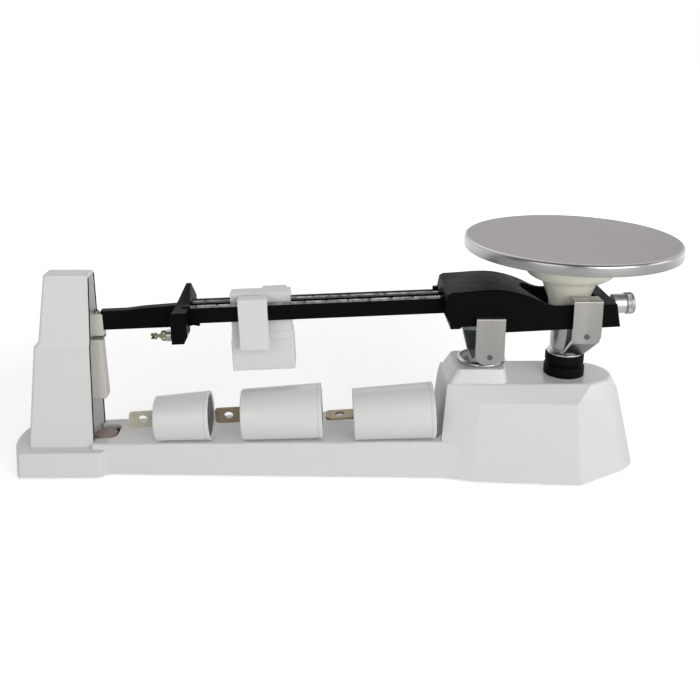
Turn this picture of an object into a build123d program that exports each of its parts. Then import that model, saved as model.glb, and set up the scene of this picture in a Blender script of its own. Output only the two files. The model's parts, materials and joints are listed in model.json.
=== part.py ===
# A mechanical triple beam balance, seen in its own frame:
# +X runs along the beam towards the pan, +Y towards the reader of the scales, +Z up.
# The origin lies on the table under the middle of the overall length. Millimetres.
import os
from math import atan2, cos, radians, sin, sqrt

from build123d import *

os.makedirs("parts", exist_ok=True)

# Overall layout
base_reach = 400.0
tower_reach = 58.0
pan_diameter = 152.0
pan_top_z = 171.4
pan_x = (base_reach - pan_diameter / 2) / 2
mouth_reach = base_reach - tower_reach
fulcrum_to_pan = 61.2
fulcrum_x = pan_x - fulcrum_to_pan
fulcrum_z = 112.0
load_arm = 66.9
rest_tilt = 2.4
beam_sweep = 4.4

# Fits between pieces
fit_gap = 0.05
running_gap = 0.1
slide_gap = 0.6
touch_gap = 0.3
swing_gap = 1.2

# Base casting
skirt_z = 1.2
casting_wall = 3.5
side_draft = 1.3
foot_length = 64.0
foot_half = 26.0
foot_top = 19.3
foot_bulge = 7.0
foot_corner = 6.0
rail_start_x = pan_x - mouth_reach + fit_gap
rail_end_x = pan_x - 70.0
rail_left_top = 23.2
rail_right_top = 28.5
rail_left_half = 20.6
rail_right_half = 30.0
deck_z = 69.0
crease_z = 58.0
pedestal_top = 78.8
block_left = 95.0
block_right = 53.5
block_corner = 5.0
block_nose = 16.0
deck_rim = 2.5
block_fillet = 4.0
rail_corner = 2.0
foot_round = 3.0
pedestal_corner = 5.0
pedestal_rim = 1.5
pedestal_roof = casting_wall + 0.5

# Bottom cover, feet and screws under the base
cover_plate_z = 2.0
cover_plate_thickness = 1.2
cover_gap = 1.0
rubber_foot_radius = 6.0
boss_radius = 4.5
small_screw_radius = 1.5
screw_head_radius = 2.8
screw_head_height = 1.6

# Tower
tower_wall = 1.8
tower_mouth_x = pan_x - mouth_reach
tower_heights = (foot_top, 94.0, 97.0, 145.0)
tower_lengths = (46.3, 39.2, 36.4, 31.4)
tower_halves = (17.0, 14.0, 12.2, 8.0)
tower_corner = 2.6
tower_rim = 1.2
tower_tab_x = tower_mouth_x - tower_lengths[0] + 5.7
tower_screw_places = (-9.0, 9.0)

# Damper in the tower's mouth
damper_left_x = tower_mouth_x - 18
damper_right_x = tower_mouth_x + 8.2
damper_lean = 2.0
damper_bottom = 49.0
damper_top = 96.2
damper_half = 5.0
moulded_round = 0.8
vane_thickness = 1.2
vane_gap = 1.0
vane_bottom_z = 69.0
vane_length = 13.0
magnet_radius = 5.0
magnet_thickness = 1.8
bracket_thickness = 1.5
bracket_half = 8.0

# Beam, in its own plane: along from the fulcrum knife, and up from its edge
box_half = 26.0
beam_reach = mouth_reach - fulcrum_to_pan
box_wall = 4.0
box_roof = 3.5
box_round = 1.6
box_start = -28.5
box_end = 89.5
box_bottom = -4.1
box_ledge = 1.4
crown_height = 26.8
shoulder_height = 13.4
opening_half = 21.5
opening_start = 26.3
opening_end = 80.7
bar_pitch = 11.0
bar_thickness = 3.0
bar_top = 20.2
bar_right_bottom = 7.9
bar_left_bottom = 9.7
far_bar_drop = 2.0
cross_start = 60.4 - beam_reach
cross_thickness = 11.0
bar_end = cross_start + 6
lug_bottom = -1.9
lug_side = -box_half - 1.0
lug_width = 13.5
stud_height = 4.0
stud_radius = 1.5
stud_end = 13.5
stud_head_radius = 2.4
stud_washer_radius = 4.0
stud_washer_height = 3.4
star_radius = 2.9
star_height = 4.2
star_point = (2.6, 1.6)
horn_side = box_half - 3.0
horn_height = 27.3
pointer_end = 8.2 - beam_reach
pointer_half = 3.2
pointer_bottom = 2.6
pointer_top = 16.6
block_start = -beam_reach - 16.2
vane_start = block_start + 1.5
block_end = pointer_end
block_base = -1.8
block_head = 11.2
notch_depth = 1.1
poise_round = 0.9
near_notch_zero = -51.7
near_notch_count = 11
near_notch_pitch = (near_notch_zero - cross_start - 15.4) / (near_notch_count - 1)
middle_notch_zero = -71.3
middle_notch_count = 6
middle_notch_pitch = (middle_notch_zero - cross_start - 20.1) / (middle_notch_count - 1)

# Knife edges and bearings
knife_width = 5.0
knife_height = 6.8
bearing_width = 8.8
bearing_height = 7.0
bearing_groove = 1.6
bearing_body = bearing_height - bearing_groove
window_reach = 16.0

# Yokes and cover plates
strap_thickness = 2.6
bend_radius = 3.0
arm_width = 19.0
fulcrum_base_width = 17.0
hanger_base_width = 14.0
hanger_base_shift = 1.6
cover_sheet = 1.2
cover_width = 20.2
cover_corner = 6.5
cover_screw_height = 5.4
cover_screw_radius = 1.3
cover_screw_head = 1.9
cover_screw_rise = 0.6
screw_slot = 0.5
fulcrum_cover_top = 120.6
fulcrum_cover_height = 33.4
fulcrum_lip = 3.0
hanger_cover_top = 133.2
hanger_cover_height = 31.0
hanger_lip = 11.0
dish_radius = 17.5
dish_height = 1.9
post_radius = 10.9
stem_radius = 4.0
bolt_radius = 2.5
bolt_hole_radius = 2.6
bolt_head_height = 3.4
nut_radius = 4.6
nut_height = 4.0
deck_hole_radius = 9.0

# Boot, support and pan
boot_low_radius = 14.6
boot_high_radius = 13.9
boot_groove_radius = 12.4
boot_wall = 1.8
boot_top = 84.8
washer_radius = 12.9
washer_thickness = 1.6
support_bottom = pan_top_z - 51.9
support_step = pan_top_z - 30.7
support_low_radius = 13.6
support_step_radius = 20.0
support_bowl_radius = 23.0
support_top_radius = 38.0
support_wall = 2.5
pan_sheet = 1.0
pan_rim_height = 8.0
pan_rim_radius = 2.2
ring_radius = 32.5
ring_height = 4.0

# Check link under the deck
link_pin_z = 24.0
link_height = 8.0
link_thickness = 3.0
pin_radius = 1.5

# Zero adjuster
zero_axis = 5.7
zero_stud_radius = 2.0
zero_gap = 3.4
zero_weight_radius = 7.1
zero_weight_length = 9.0
zero_knob_radius = 7.9
zero_knob_length = 6.0
knob_round = 1.5
knob_grooves = 28
knob_groove = 0.7
zero_stud_length = zero_gap + zero_weight_length + zero_knob_length + 1.0

# Attachment weights: left end, length, small and large radius, place across, roll of the strip
weight_rows = (
    ("small_weight", tower_mouth_x + 45.4, 39.1, 15.7, 17.4, -14.0, 3.5),
    ("large_weight_left", pan_x - 235.0, 57.4, 17.9, 19.7, -15.1, 13.0),
    ("large_weight_right", pan_x - 155.4, 57.6, 18.0, 20.0, -18.8, -88.0),
)
weight_round = 1.6
rim_groove = 5.0
strip_width = 12.7
strip_thickness = 1.6
strip_reach = 19.5
strip_depth = 12.0
strip_hole_radius = 3.2
strip_hole_inset = 9.8

tilt = radians(rest_tilt)


def save(builder, name):
    builder.part.label = name
    export_step(builder.part, f"parts/{name}.step")


def beam_side(across=0.0):
    # The beam's side plane: x along the beam, y up from it, facing -Y, at a place across
    return Plane(origin=(fulcrum_x, across, fulcrum_z), x_dir=(cos(tilt), 0, sin(tilt)), z_dir=(0, -1, 0))


def beam_point(along, up, across=0.0):
    # A point of the beam at rest, in the balance's own frame
    return (
        fulcrum_x + along * cos(tilt) - up * sin(tilt),
        across,
        fulcrum_z + along * sin(tilt) + up * cos(tilt),
    )


def beam_section(along):
    # A plane square to the beam: x is across (+Y), y is up, facing along the beam
    return Plane(origin=beam_point(along, 0), x_dir=(0, 1, 0), z_dir=(cos(tilt), 0, sin(tilt)))


def beam_top(up):
    # A plane along the beam facing up, at a height over the knife line
    return Plane(origin=beam_point(0, up), x_dir=(cos(tilt), 0, sin(tilt)), z_dir=(-sin(tilt), 0, cos(tilt)))


def axis_plane(x, height=0.0):
    # An upright plane through a round piece's axis: x outwards from it, y up, facing -Y
    return Plane(origin=(x, 0, height), x_dir=(1, 0, 0), z_dir=(0, -1, 0))


def upright_axis(x):
    return Axis((x, 0, 0), (0, 0, 1))


load_x = beam_point(load_arm, 0)[0]
load_z = beam_point(load_arm, 0)[2]


def rail_top(x):
    share = (x - rail_start_x) / (rail_end_x - rail_start_x)
    return rail_left_top + share * (rail_right_top - rail_left_top)


# Plan outlines of the block from the rail round to its right end, as reach from the pan axis and half width
def block_outline(level):
    if level == "skirt":
        return [(-block_left, 29.5), (-68, 36.4), (5, 42.3), (43, 20.5), (block_right, 9)]
    if level == "crease":
        return [(-90, 24.5), (-66, 29.6), (2, 33.6), (32.5, 17.0), (39.5, 6.5)]
    return [(-88.5, 20.5), (-68, 21.8), (14, 22.3), (28, 15.0), (34.0, 5.0)]


def level_sketch(level, height, inset=0.0):
    with BuildSketch(Plane.XY.offset(height)) as outline:
        points = block_outline(level)
        near = [(pan_x + x, -y) for x, y in points]
        far = [(pan_x + x, y) for x, y in reversed(points)]
        with BuildLine():
            Polyline(near + far, close=True)
        make_face()
        if inset:
            offset(amount=-inset, kind=Kind.INTERSECTION, mode=Mode.REPLACE)
        corners = outline.vertices().sort_by(Axis.X)
        fillet(corners[-4:], radius=block_nose - inset)
        fillet(corners[2:-4], radius=block_corner - min(inset, casting_wall))
    return outline.sketch


def rail_sketch(x, inset=0.0):
    # Section across the rail: sides drawn out towards the table
    top = rail_top(x) - inset
    share = (x - rail_start_x) / (rail_end_x - rail_start_x)
    half = rail_left_half + share * (rail_right_half - rail_left_half) - inset
    foot = skirt_z if inset == 0 else 0
    with BuildSketch(Plane(origin=(x, 0, 0), x_dir=(0, 1, 0), z_dir=(1, 0, 0))) as section:
        with BuildLine():
            Polyline((-half - side_draft, foot), (half + side_draft, foot), (half, top), (-half, top), close=True)
        make_face()
        fillet(section.vertices().group_by(Axis.Y)[-1], radius=rail_corner)
    return section.sketch


def foot_sketch(height, inset=0.0):
    # The foot in plan: a bulged left end, and corners cut towards the rail on the right
    grow = side_draft if height <= skirt_z else 0
    left = pan_x - base_reach + foot_bulge + inset
    right = pan_x - base_reach + foot_length + foot_corner - inset
    half = foot_half + grow - inset
    with BuildSketch(Plane.XY.offset(height)) as outline:
        with BuildLine():
            Polyline((left, -half), (right - foot_corner, -half), (right, -half + foot_corner))
            Line((right, -half + foot_corner), (right, half - foot_corner))
            Polyline((right, half - foot_corner), (right - foot_corner, half), (left, half))
            ThreePointArc((left, half), (left - foot_bulge, 0), (left, -half))
        make_face()
        fillet(outline.vertices(), radius=foot_round)
    return outline.sketch


def pedestal_sketch(height, corners):
    # The pedestal in plan, from its near corners' reach and half width
    with BuildSketch(Plane.XY.offset(height)) as outline:
        with BuildLine():
            near = [(pan_x + reach, -half) for reach, half in corners]
            far = [(pan_x + reach, half) for reach, half in reversed(corners)]
            Polyline(near + far, close=True)
        make_face()
        fillet(outline.vertices(), radius=pedestal_corner)
    return outline.sketch


# Where the bottom cover is screwed up into the casting, as reach from the pan axis and place across
boss_places = [(12 - base_reach, 0), (42 - mouth_reach, 0), (-150, 0), (-80, 12), (-80, -12), (22, 0)]
rubber_foot_places = [(20 - base_reach, 15), (20 - base_reach, -15), (20, 22), (20, -22)]

# Base casting: foot, rail and block in one, hollow from below
with BuildPart() as base_casting:
    loft([foot_sketch(skirt_z), foot_sketch(foot_top)], ruled=True)
    loft([rail_sketch(rail_start_x), rail_sketch(rail_end_x)], ruled=True)
    loft([level_sketch("skirt", skirt_z), level_sketch("crease", crease_z)], ruled=True)
    loft([level_sketch("crease", crease_z), level_sketch("deck", deck_z)], ruled=True)
    fillet(base_casting.faces().sort_by(Axis.Z)[-1].edges(), radius=deck_rim)
    loft(
        [
            pedestal_sketch(deck_z - 1, [(-88.5, 20.5), (-44.8, 21.9)]),
            pedestal_sketch(pedestal_top, [(-82, 18.5), (-46.3, 18.5)]),
        ],
        ruled=True,
    )
    fillet(base_casting.faces().sort_by(Axis.Z)[-1].edges(), radius=pedestal_rim)
    # Concave sweep from the rail's top up the block's left end
    sweep_x = pan_x - block_left + 2
    sweep_z = rail_top(sweep_x)
    with BuildSketch(Plane.XZ):
        with BuildLine():
            Line((sweep_x - block_fillet, sweep_z - 2), (sweep_x - block_fillet, sweep_z - 0.3))
            ThreePointArc(
                (sweep_x - block_fillet, sweep_z - 0.3),
                (sweep_x - block_fillet * (1 - sqrt(0.5)), sweep_z + block_fillet * (1 - sqrt(0.5))),
                (sweep_x, sweep_z + block_fillet),
            )
            Polyline(
                (sweep_x, sweep_z + block_fillet), (sweep_x + 4, sweep_z + block_fillet), (sweep_x + 4, sweep_z - 2),
                (sweep_x - block_fillet, sweep_z - 2),
            )
        make_face()
    extrude(amount=24, both=True)
    # Pocket in the rail's top at the tower's mouth
    with BuildSketch(Plane.XY.offset(rail_top(tower_mouth_x) + 5)):
        with Locations((tower_mouth_x + 4, 0)):
            RectangleRounded(22, 22, 6)
    extrude(amount=-(rail_top(tower_mouth_x) + 5 - foot_top), mode=Mode.SUBTRACT)
    # Hollow inside
    inner_foot = foot_sketch(skirt_z - 2, casting_wall)
    loft([inner_foot, foot_sketch(foot_top - casting_wall, casting_wall)], ruled=True, mode=Mode.SUBTRACT)
    loft(
        [rail_sketch(rail_start_x + casting_wall, casting_wall), rail_sketch(rail_end_x, casting_wall)],
        ruled=True,
        mode=Mode.SUBTRACT,
    )
    loft(
        [level_sketch("skirt", skirt_z - 2, casting_wall), level_sketch("crease", crease_z, casting_wall)],
        ruled=True,
        mode=Mode.SUBTRACT,
    )
    loft(
        [level_sketch("crease", crease_z, casting_wall), level_sketch("deck", deck_z - casting_wall, casting_wall)],
        ruled=True,
        mode=Mode.SUBTRACT,
    )
    with BuildSketch(Plane.XY.offset(crease_z)):
        with Locations((fulcrum_x, 0)):
            Rectangle(16, 28)
    extrude(amount=pedestal_top - crease_z - pedestal_roof, mode=Mode.SUBTRACT)
    # Bosses for the screws of the bottom cover
    for reach, across in boss_places:
        roof = foot_top if reach < -mouth_reach else (rail_top(pan_x + reach) if reach < -block_left else deck_z)
        with BuildSketch(Plane.XY.offset(cover_plate_z + cover_plate_thickness)):
            with Locations((pan_x + reach, across)):
                Circle(boss_radius)
                Circle(small_screw_radius, mode=Mode.SUBTRACT)
        extrude(amount=roof - cover_plate_z - cover_plate_thickness - casting_wall / 2)
    # Hole for the hanger's stem, and for the fulcrum's bolt
    with Locations((pan_x, 0, deck_z)):
        Hole(deck_hole_radius, depth=3 * casting_wall)
    with Locations((fulcrum_x, 0, pedestal_top)):
        Hole(bolt_hole_radius, depth=30)

save(base_casting, "base_casting")

# Bottom cover: one pressed plate inside the casting's walls
with BuildPart() as bottom_cover:
    cover_outlines = [
        foot_sketch(cover_plate_z, casting_wall + cover_gap),
        level_sketch("skirt", cover_plate_z, casting_wall + cover_gap),
    ]
    with BuildSketch(Plane.XY.offset(cover_plate_z)):
        add([outline.moved(Location((0, 0, -cover_plate_z))) for outline in cover_outlines])
        with BuildLine():
            left_half = rail_left_half + side_draft - casting_wall - cover_gap
            right_half = rail_right_half + side_draft - casting_wall - cover_gap
            left_x = rail_start_x + foot_corner
            Polyline(
                (left_x, -left_half), (rail_end_x, -right_half), (rail_end_x, right_half), (left_x, left_half),
                close=True,
            )
        make_face()
    extrude(amount=cover_plate_thickness)
    with Locations(*[(pan_x + reach, across, cover_plate_z) for reach, across in boss_places]):
        Hole(small_screw_radius + running_gap, depth=2 * cover_plate_thickness)
save(bottom_cover, "bottom_cover")

with BuildPart() as bottom_screws:
    for reach, across in boss_places:
        with BuildSketch(Plane((pan_x + reach, across, cover_plate_z - 0.9))):
            Circle(screw_head_radius)
        extrude(amount=0.9)
        with BuildSketch(Plane((pan_x + reach, across, cover_plate_z - 0.9))):
            Circle(small_screw_radius - fit_gap)
        extrude(amount=9)
save(bottom_screws, "bottom_screws")

with BuildPart() as rubber_feet:
    for reach, across in rubber_foot_places:
        with BuildSketch(Plane((pan_x + reach, across, 0))):
            Circle(rubber_foot_radius)
        extrude(amount=cover_plate_z)
save(rubber_feet, "rubber_feet")


def tower_sketch(level, inset=0.0, open_mouth=0.0):
    # A rectangle across the tower at one of its levels, drawn in by the wall but open at the mouth
    left = tower_mouth_x - tower_lengths[level] + inset
    right = tower_mouth_x + open_mouth
    half = tower_halves[level] - inset
    with BuildSketch(Plane.XY.offset(tower_heights[level])) as outline:
        with Locations(((left + right) / 2, 0)):
            Rectangle(right - left, 2 * half)
        fillet(outline.vertices().sort_by(Axis.X)[:2], radius=tower_corner - inset / 2)
    return outline.sketch


# Tower cover: two tapered boxes with a ledge between, open towards the beam and below
with BuildPart() as tower_cover:
    for level in range(3):
        loft([tower_sketch(level), tower_sketch(level + 1)], ruled=True)
    fillet(tower_cover.faces().sort_by(Axis.Z)[-1].edges(), radius=tower_rim)
    for level in range(3):
        low = tower_sketch(level, tower_wall, 1)
        high = tower_sketch(level + 1, tower_wall, 1)
        if level == 2:
            high = high.moved(Location((0, 0, -tower_wall)))
        loft([low, high], ruled=True, mode=Mode.SUBTRACT)
    # Tab inside, which is screwed down on the foot
    with BuildSketch(Plane.XY.offset(foot_top)):
        with Locations((tower_tab_x, 0)):
            Rectangle(9, 2 * (tower_halves[0] - tower_wall))
            for across in tower_screw_places:
                with Locations((0, across)):
                    Circle(small_screw_radius + fit_gap, mode=Mode.SUBTRACT)
    extrude(amount=tower_wall)
save(tower_cover, "tower_cover")

with BuildPart() as tower_screws:
    for across in tower_screw_places:
        with BuildSketch(Plane((tower_tab_x, across, foot_top + tower_wall))):
            Circle(screw_head_radius)
        extrude(amount=screw_head_height)
        with BuildSketch(Plane((tower_tab_x, across, foot_top))):
            Circle(small_screw_radius)
        extrude(amount=tower_wall)
save(tower_screws, "tower_screws")

# Damper housing: a moulded block with a slot for the vane, standing in the tower's mouth
slot_left = damper_left_x + 2
slot_right = damper_right_x - 6
vane_slot_half = vane_thickness / 2 + vane_gap
with BuildPart() as damper_housing:
    with BuildSketch(Plane.XZ) as housing_side:
        with BuildLine():
            Polyline(
                (damper_left_x, damper_bottom), (damper_right_x + damper_lean, damper_bottom),
                (damper_right_x, damper_top), (damper_left_x, damper_top), close=True,
            )
        make_face()
        fillet(housing_side.vertices().group_by(Axis.Y)[0].sort_by(Axis.X)[-1], radius=3)
    extrude(amount=damper_half, both=True)
    fillet(damper_housing.edges().filter_by(Axis.Z), radius=moulded_round)
    with BuildSketch(Plane.XY.offset(damper_top)):
        with Locations(((slot_left + slot_right) / 2, 0)):
            Rectangle(slot_right - slot_left, 2 * vane_slot_half)
    extrude(amount=-(damper_top - vane_bottom_z + 8), mode=Mode.SUBTRACT)
    for side in (1, -1):
        face_plane = Plane(
            origin=(damper_left_x + 11, side * vane_slot_half, vane_bottom_z + 9), x_dir=(1, 0, 0), z_dir=(0, side, 0)
        )
        with BuildSketch(face_plane):
            Circle(magnet_radius + fit_gap)
        extrude(amount=magnet_thickness + fit_gap, mode=Mode.SUBTRACT)
save(damper_housing, "damper_housing")

with BuildPart() as damper_magnets:
    for side in (1, -1):
        face_plane = Plane(
            origin=(damper_left_x + 11, side * vane_slot_half, vane_bottom_z + 9), x_dir=(1, 0, 0), z_dir=(0, side, 0)
        )
        with BuildSketch(face_plane):
            Circle(magnet_radius)
        extrude(amount=magnet_thickness)
save(damper_magnets, "damper_magnets")

# Bracket that stands on the foot and carries the housing
bracket_x = damper_left_x - bracket_thickness
with BuildPart() as damper_bracket:
    with BuildSketch(Plane.XZ):
        with BuildLine():
            Polyline(
                (bracket_x - 14, foot_top), (damper_left_x, foot_top), (damper_left_x, damper_top - 8),
                (bracket_x, damper_top - 8), (bracket_x, foot_top + bracket_thickness),
                (bracket_x - 14, foot_top + bracket_thickness), close=True,
            )
        make_face()
    extrude(amount=bracket_half, both=True)
    with Locations((bracket_x - 8, 0, foot_top + bracket_thickness)):
        with GridLocations(1, 9, 1, 2):
            Hole(small_screw_radius + running_gap, depth=3)
save(damper_bracket, "damper_bracket")

with BuildPart() as damper_screws:
    for across in (-4.5, 4.5):
        with BuildSketch(Plane((bracket_x - 8, across, foot_top + bracket_thickness))):
            Circle(screw_head_radius)
        extrude(amount=screw_head_height)
        with BuildSketch(Plane((bracket_x - 8, across, foot_top))):
            Circle(small_screw_radius)
        extrude(amount=bracket_thickness)
save(damper_screws, "damper_screws")

# Rubber pad on the housing, each side of the slot, where the pointer block comes to rest
pad_left_x = damper_right_x - 6.6
pad_top = beam_point((pad_left_x - fulcrum_x) / cos(tilt), block_base)[2] - running_gap
with BuildPart() as stop_pad:
    with BuildSketch(Plane.XY.offset(damper_top)):
        with Locations((pad_left_x + 3, 0)):
            Rectangle(6, 2 * damper_half - 1)
            Rectangle(8, 2 * vane_slot_half, mode=Mode.SUBTRACT)
    extrude(amount=pad_top - damper_top)
save(stop_pad, "stop_pad")

# Thin plate with the zero scale, on the tower's wall on the reader's side
wall_lean = atan2(tower_halves[2] - tower_halves[3], tower_heights[3] - tower_heights[2])
scale_plate_z = fulcrum_z + 4
with BuildPart() as zero_scale_plate:
    wall_half = tower_halves[2] - (scale_plate_z - tower_heights[2]) * (
        (tower_halves[2] - tower_halves[3]) / (tower_heights[3] - tower_heights[2])
    )
    plate_plane = Plane(
        origin=(tower_mouth_x - 6, wall_half, scale_plate_z), x_dir=(-1, 0, 0), z_dir=(0, cos(wall_lean), sin(wall_lean))
    )
    with BuildSketch(plate_plane):
        RectangleRounded(10, 26, 1)
    extrude(amount=0.5)
save(zero_scale_plate, "zero_scale_plate")


def crown_profile(drop, start, end, floor, ledge):
    # The box of the beam from the side: crowned roof, then a low shoulder under the pan
    with BuildSketch(beam_side()) as outline:
        with BuildLine():
            Polyline((start + 3, crown_height - drop), (start, crown_height - 1.6 - drop), (start - 3, 11.9))
            Polyline((start - 3, 11.9), (start + 1, 4.4), (start + 1.4, ledge - 1.4))
            Polyline((start + 1.4, ledge - 1.4), (start + 7.8, ledge - 1.4), (start + 9.5, ledge), (-6, ledge))
            Polyline((-6, ledge), (-3, floor), (end + 2.4, floor + 1))
            Line((end + 2.4, floor + 1), (end, shoulder_height - drop))
            Line((end, shoulder_height - drop), (49, shoulder_height - drop))
            Spline(
                (49, shoulder_height - drop), (35, crown_height - 8.6 - drop), (15.5, crown_height - 1.1 - drop),
                (start + 3, crown_height - drop), tangents=[(-1, 0), (-1, 0)],
            )
        make_face()
    return outline.sketch


def bar_sketch(across, top):
    with BuildSketch(beam_side(across)) as outline:
        with BuildLine():
            Polyline(
                (box_start + 2, bar_right_bottom), (box_start + 2, top), (bar_end, top), (bar_end, bar_left_bottom),
                close=True,
            )
        make_face()
    return outline.sketch


def knife_sketch(plane, edge_up, grow=0.0):
    # A knife edge in section: its edge lies on the pivot line
    up = -1 if edge_up else 1
    half = knife_width / 2 + grow
    with BuildSketch(plane) as outline:
        with BuildLine():
            Polyline(
                (0, -up * grow), (half, up * knife_width), (half, up * (knife_height + grow)),
                (-half, up * (knife_height + grow)), (-half, up * knife_width), close=True,
            )
        make_face()
    return outline.sketch


def load_plane(across=0.0):
    return Plane(origin=beam_point(load_arm, 0, across), x_dir=(cos(tilt), 0, sin(tilt)), z_dir=(0, -1, 0))


# Crosspiece with its lug on the near side and its horn on the far side
with BuildPart() as crosspiece:
    with BuildSketch(beam_section(cross_start)):
        with BuildLine():
            Polyline(
                (lug_side, lug_bottom), (lug_side, bar_top - 3), (lug_side + 3, bar_top - 0.7),
                (-3, bar_top - 0.7), (horn_side - 4, horn_height), (horn_side, horn_height),
                (horn_side, bar_right_bottom), (lug_side + lug_width, bar_right_bottom),
                (lug_side + lug_width, lug_bottom), close=True,
            )
        make_face()
    extrude(amount=cross_thickness)
    with BuildSketch(beam_side()):
        with BuildLine():
            Polyline(
                (cross_start, lug_bottom), (cross_start, bar_top - 2), (cross_start + 4.2, horn_height),
                (cross_start + 7.6, horn_height), (cross_start + cross_thickness, bar_top - 2),
                (cross_start + cross_thickness, lug_bottom + 5), (cross_start + cross_thickness - 2.5, lug_bottom),
                close=True,
            )
        make_face()
    extrude(amount=2 * box_half, both=True, mode=Mode.INTERSECT)

# Beam casting: box with its opening, three bars, crosspiece and pointer bar
bar_places = ((-bar_pitch, bar_top), (0.0, bar_top), (bar_pitch, bar_top - far_bar_drop))
with BuildPart() as beam_casting:
    extrude(crown_profile(0, box_start, box_end, box_bottom, box_ledge), amount=box_half, both=True)
    box_sides = beam_casting.faces().sort_by(Axis.Y)
    fillet(box_sides[0].edges() + box_sides[-1].edges(), radius=box_round)
    below = box_bottom - 3
    inside = crown_profile(box_roof, box_start + box_wall, box_end - box_wall, below, below)
    extrude(inside, amount=box_half - box_wall, both=True, mode=Mode.SUBTRACT)
    opening_length = opening_end - opening_start
    with BuildSketch(beam_top(crown_height + 5)):
        with Locations((opening_start + opening_length / 2, 0)):
            SlotOverall(opening_length, 2 * opening_half)
    extrude(amount=-crown_height - 15, mode=Mode.SUBTRACT)
    for across, top in bar_places:
        extrude(bar_sketch(across, top), amount=bar_thickness / 2, both=True)
    add(crosspiece.part)
    # Pointer bar, stepped on top
    with BuildSketch(beam_side()):
        with BuildLine():
            Polyline(
                (pointer_end, pointer_bottom), (pointer_end, pointer_top), (pointer_end + 16, pointer_top),
                (pointer_end + 29, pointer_top + 1.2), (cross_start + 1, pointer_top + 2.2),
                (cross_start + 1, pointer_bottom), close=True,
            )
        make_face()
    extrude(amount=pointer_half, both=True)
    # Gusset under the near bar, and the stop at the far bar's end
    with BuildSketch(beam_side(-bar_pitch)):
        with Locations((cross_start + cross_thickness + 2.5, (bar_left_bottom + 7.5) / 2 + 1)):
            Rectangle(8, bar_left_bottom - 7.5 + 2)
    extrude(amount=bar_thickness / 2, both=True)
    with BuildSketch(beam_side(bar_pitch)):
        with Locations((box_start - 4.6, bar_top - far_bar_drop + 1)):
            Rectangle(4, 3.4)
    extrude(amount=bar_thickness / 2, both=True)
    # Notches along the near and middle bars
    for across, zero, pitch, count in (
        (-bar_pitch, near_notch_zero, near_notch_pitch, near_notch_count),
        (0.0, middle_notch_zero, middle_notch_pitch, middle_notch_count),
    ):
        with BuildSketch(beam_side(across)):
            for step in range(count):
                along = zero - step * pitch
                with BuildLine():
                    Polyline(
                        (along, bar_top - notch_depth), (along + notch_depth, bar_top + 0.2),
                        (along - notch_depth, bar_top + 0.2), close=True,
                    )
                make_face()
        extrude(amount=bar_thickness, both=True, mode=Mode.SUBTRACT)
    # Seats of the knife edges in the side walls
    extrude(knife_sketch(beam_side(), False, fit_gap), amount=2 * box_half, both=True, mode=Mode.SUBTRACT)
    extrude(knife_sketch(load_plane(), True, fit_gap), amount=2 * box_half, both=True, mode=Mode.SUBTRACT)
    # Hole for the zero adjuster's stud
    with BuildSketch(beam_section(box_end - box_wall - 2)):
        with Locations((0, zero_axis)):
            Circle(zero_stud_radius + fit_gap)
    extrude(amount=box_wall + 8, mode=Mode.SUBTRACT)
    # Hole for the weight stud through the lug
    with BuildSketch(beam_section(cross_start)):
        with Locations((lug_side + 3, stud_height)):
            Circle(stud_radius + fit_gap)
    extrude(amount=cross_thickness, mode=Mode.SUBTRACT)
save(beam_casting, "beam_casting")

knife_half_length = box_half + swing_gap + strap_thickness - touch_gap
with BuildPart() as fulcrum_knife:
    extrude(knife_sketch(beam_side(), False), amount=knife_half_length, both=True)
save(fulcrum_knife, "fulcrum_knife")

with BuildPart() as load_knives:
    for side in (-1, 1):
        inner_plane = load_plane(side * (box_half - box_wall))
        extrude(knife_sketch(inner_plane, True), amount=-side * (knife_half_length - box_half + box_wall))
save(load_knives, "load_knives")

# Pointer block on the beam's end, its wire loop and the damper vane below
with BuildPart() as pointer_block:
    with BuildSketch(beam_side()):
        with BuildLine():
            Polyline(
                (block_start, block_base), (block_end, block_base), (block_end, block_head),
                (block_end - 11.5, block_head), (block_start, 6), close=True,
            )
        make_face()
    extrude(amount=3.5, both=True)
    fillet(pointer_block.faces().sort_by(Axis.Y)[0].edges(), radius=moulded_round)
    with BuildSketch(beam_top(block_base)):
        with Locations((vane_start + vane_length / 2, 0)):
            Rectangle(vane_length + 2 * fit_gap, vane_thickness + 2 * fit_gap)
    extrude(amount=3, mode=Mode.SUBTRACT)
save(pointer_block, "pointer_block")

with BuildPart() as damper_vane:
    with BuildSketch(beam_side()):
        vane_low = vane_bottom_z - beam_point(block_start, 0)[2]
        vane_high = block_base + 2.8
        with Locations((vane_start + vane_length / 2, (vane_low + vane_high) / 2)):
            Rectangle(vane_length, vane_high - vane_low)
    extrude(amount=vane_thickness / 2, both=True)
save(damper_vane, "damper_vane")

with BuildPart() as pointer_loop:
    with BuildSketch(beam_side()):
        with BuildLine():
            Line((block_end - 5.5, block_head), (block_end - 1.5, block_head))
            Line((block_end - 1.5, block_head), (block_end - 1.5, block_head + 3.3))
            ThreePointArc(
                (block_end - 1.5, block_head + 3.3), (block_end - 3.5, block_head + 5.3),
                (block_end - 5.5, block_head + 3.3),
            )
            Line((block_end - 5.5, block_head + 3.3), (block_end - 5.5, block_head))
        make_face()
        with Locations((block_end - 3.5, block_head + 3.1)):
            Circle(1.2, mode=Mode.SUBTRACT)
    extrude(amount=0.9, both=True)
save(pointer_loop, "pointer_loop")

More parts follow.
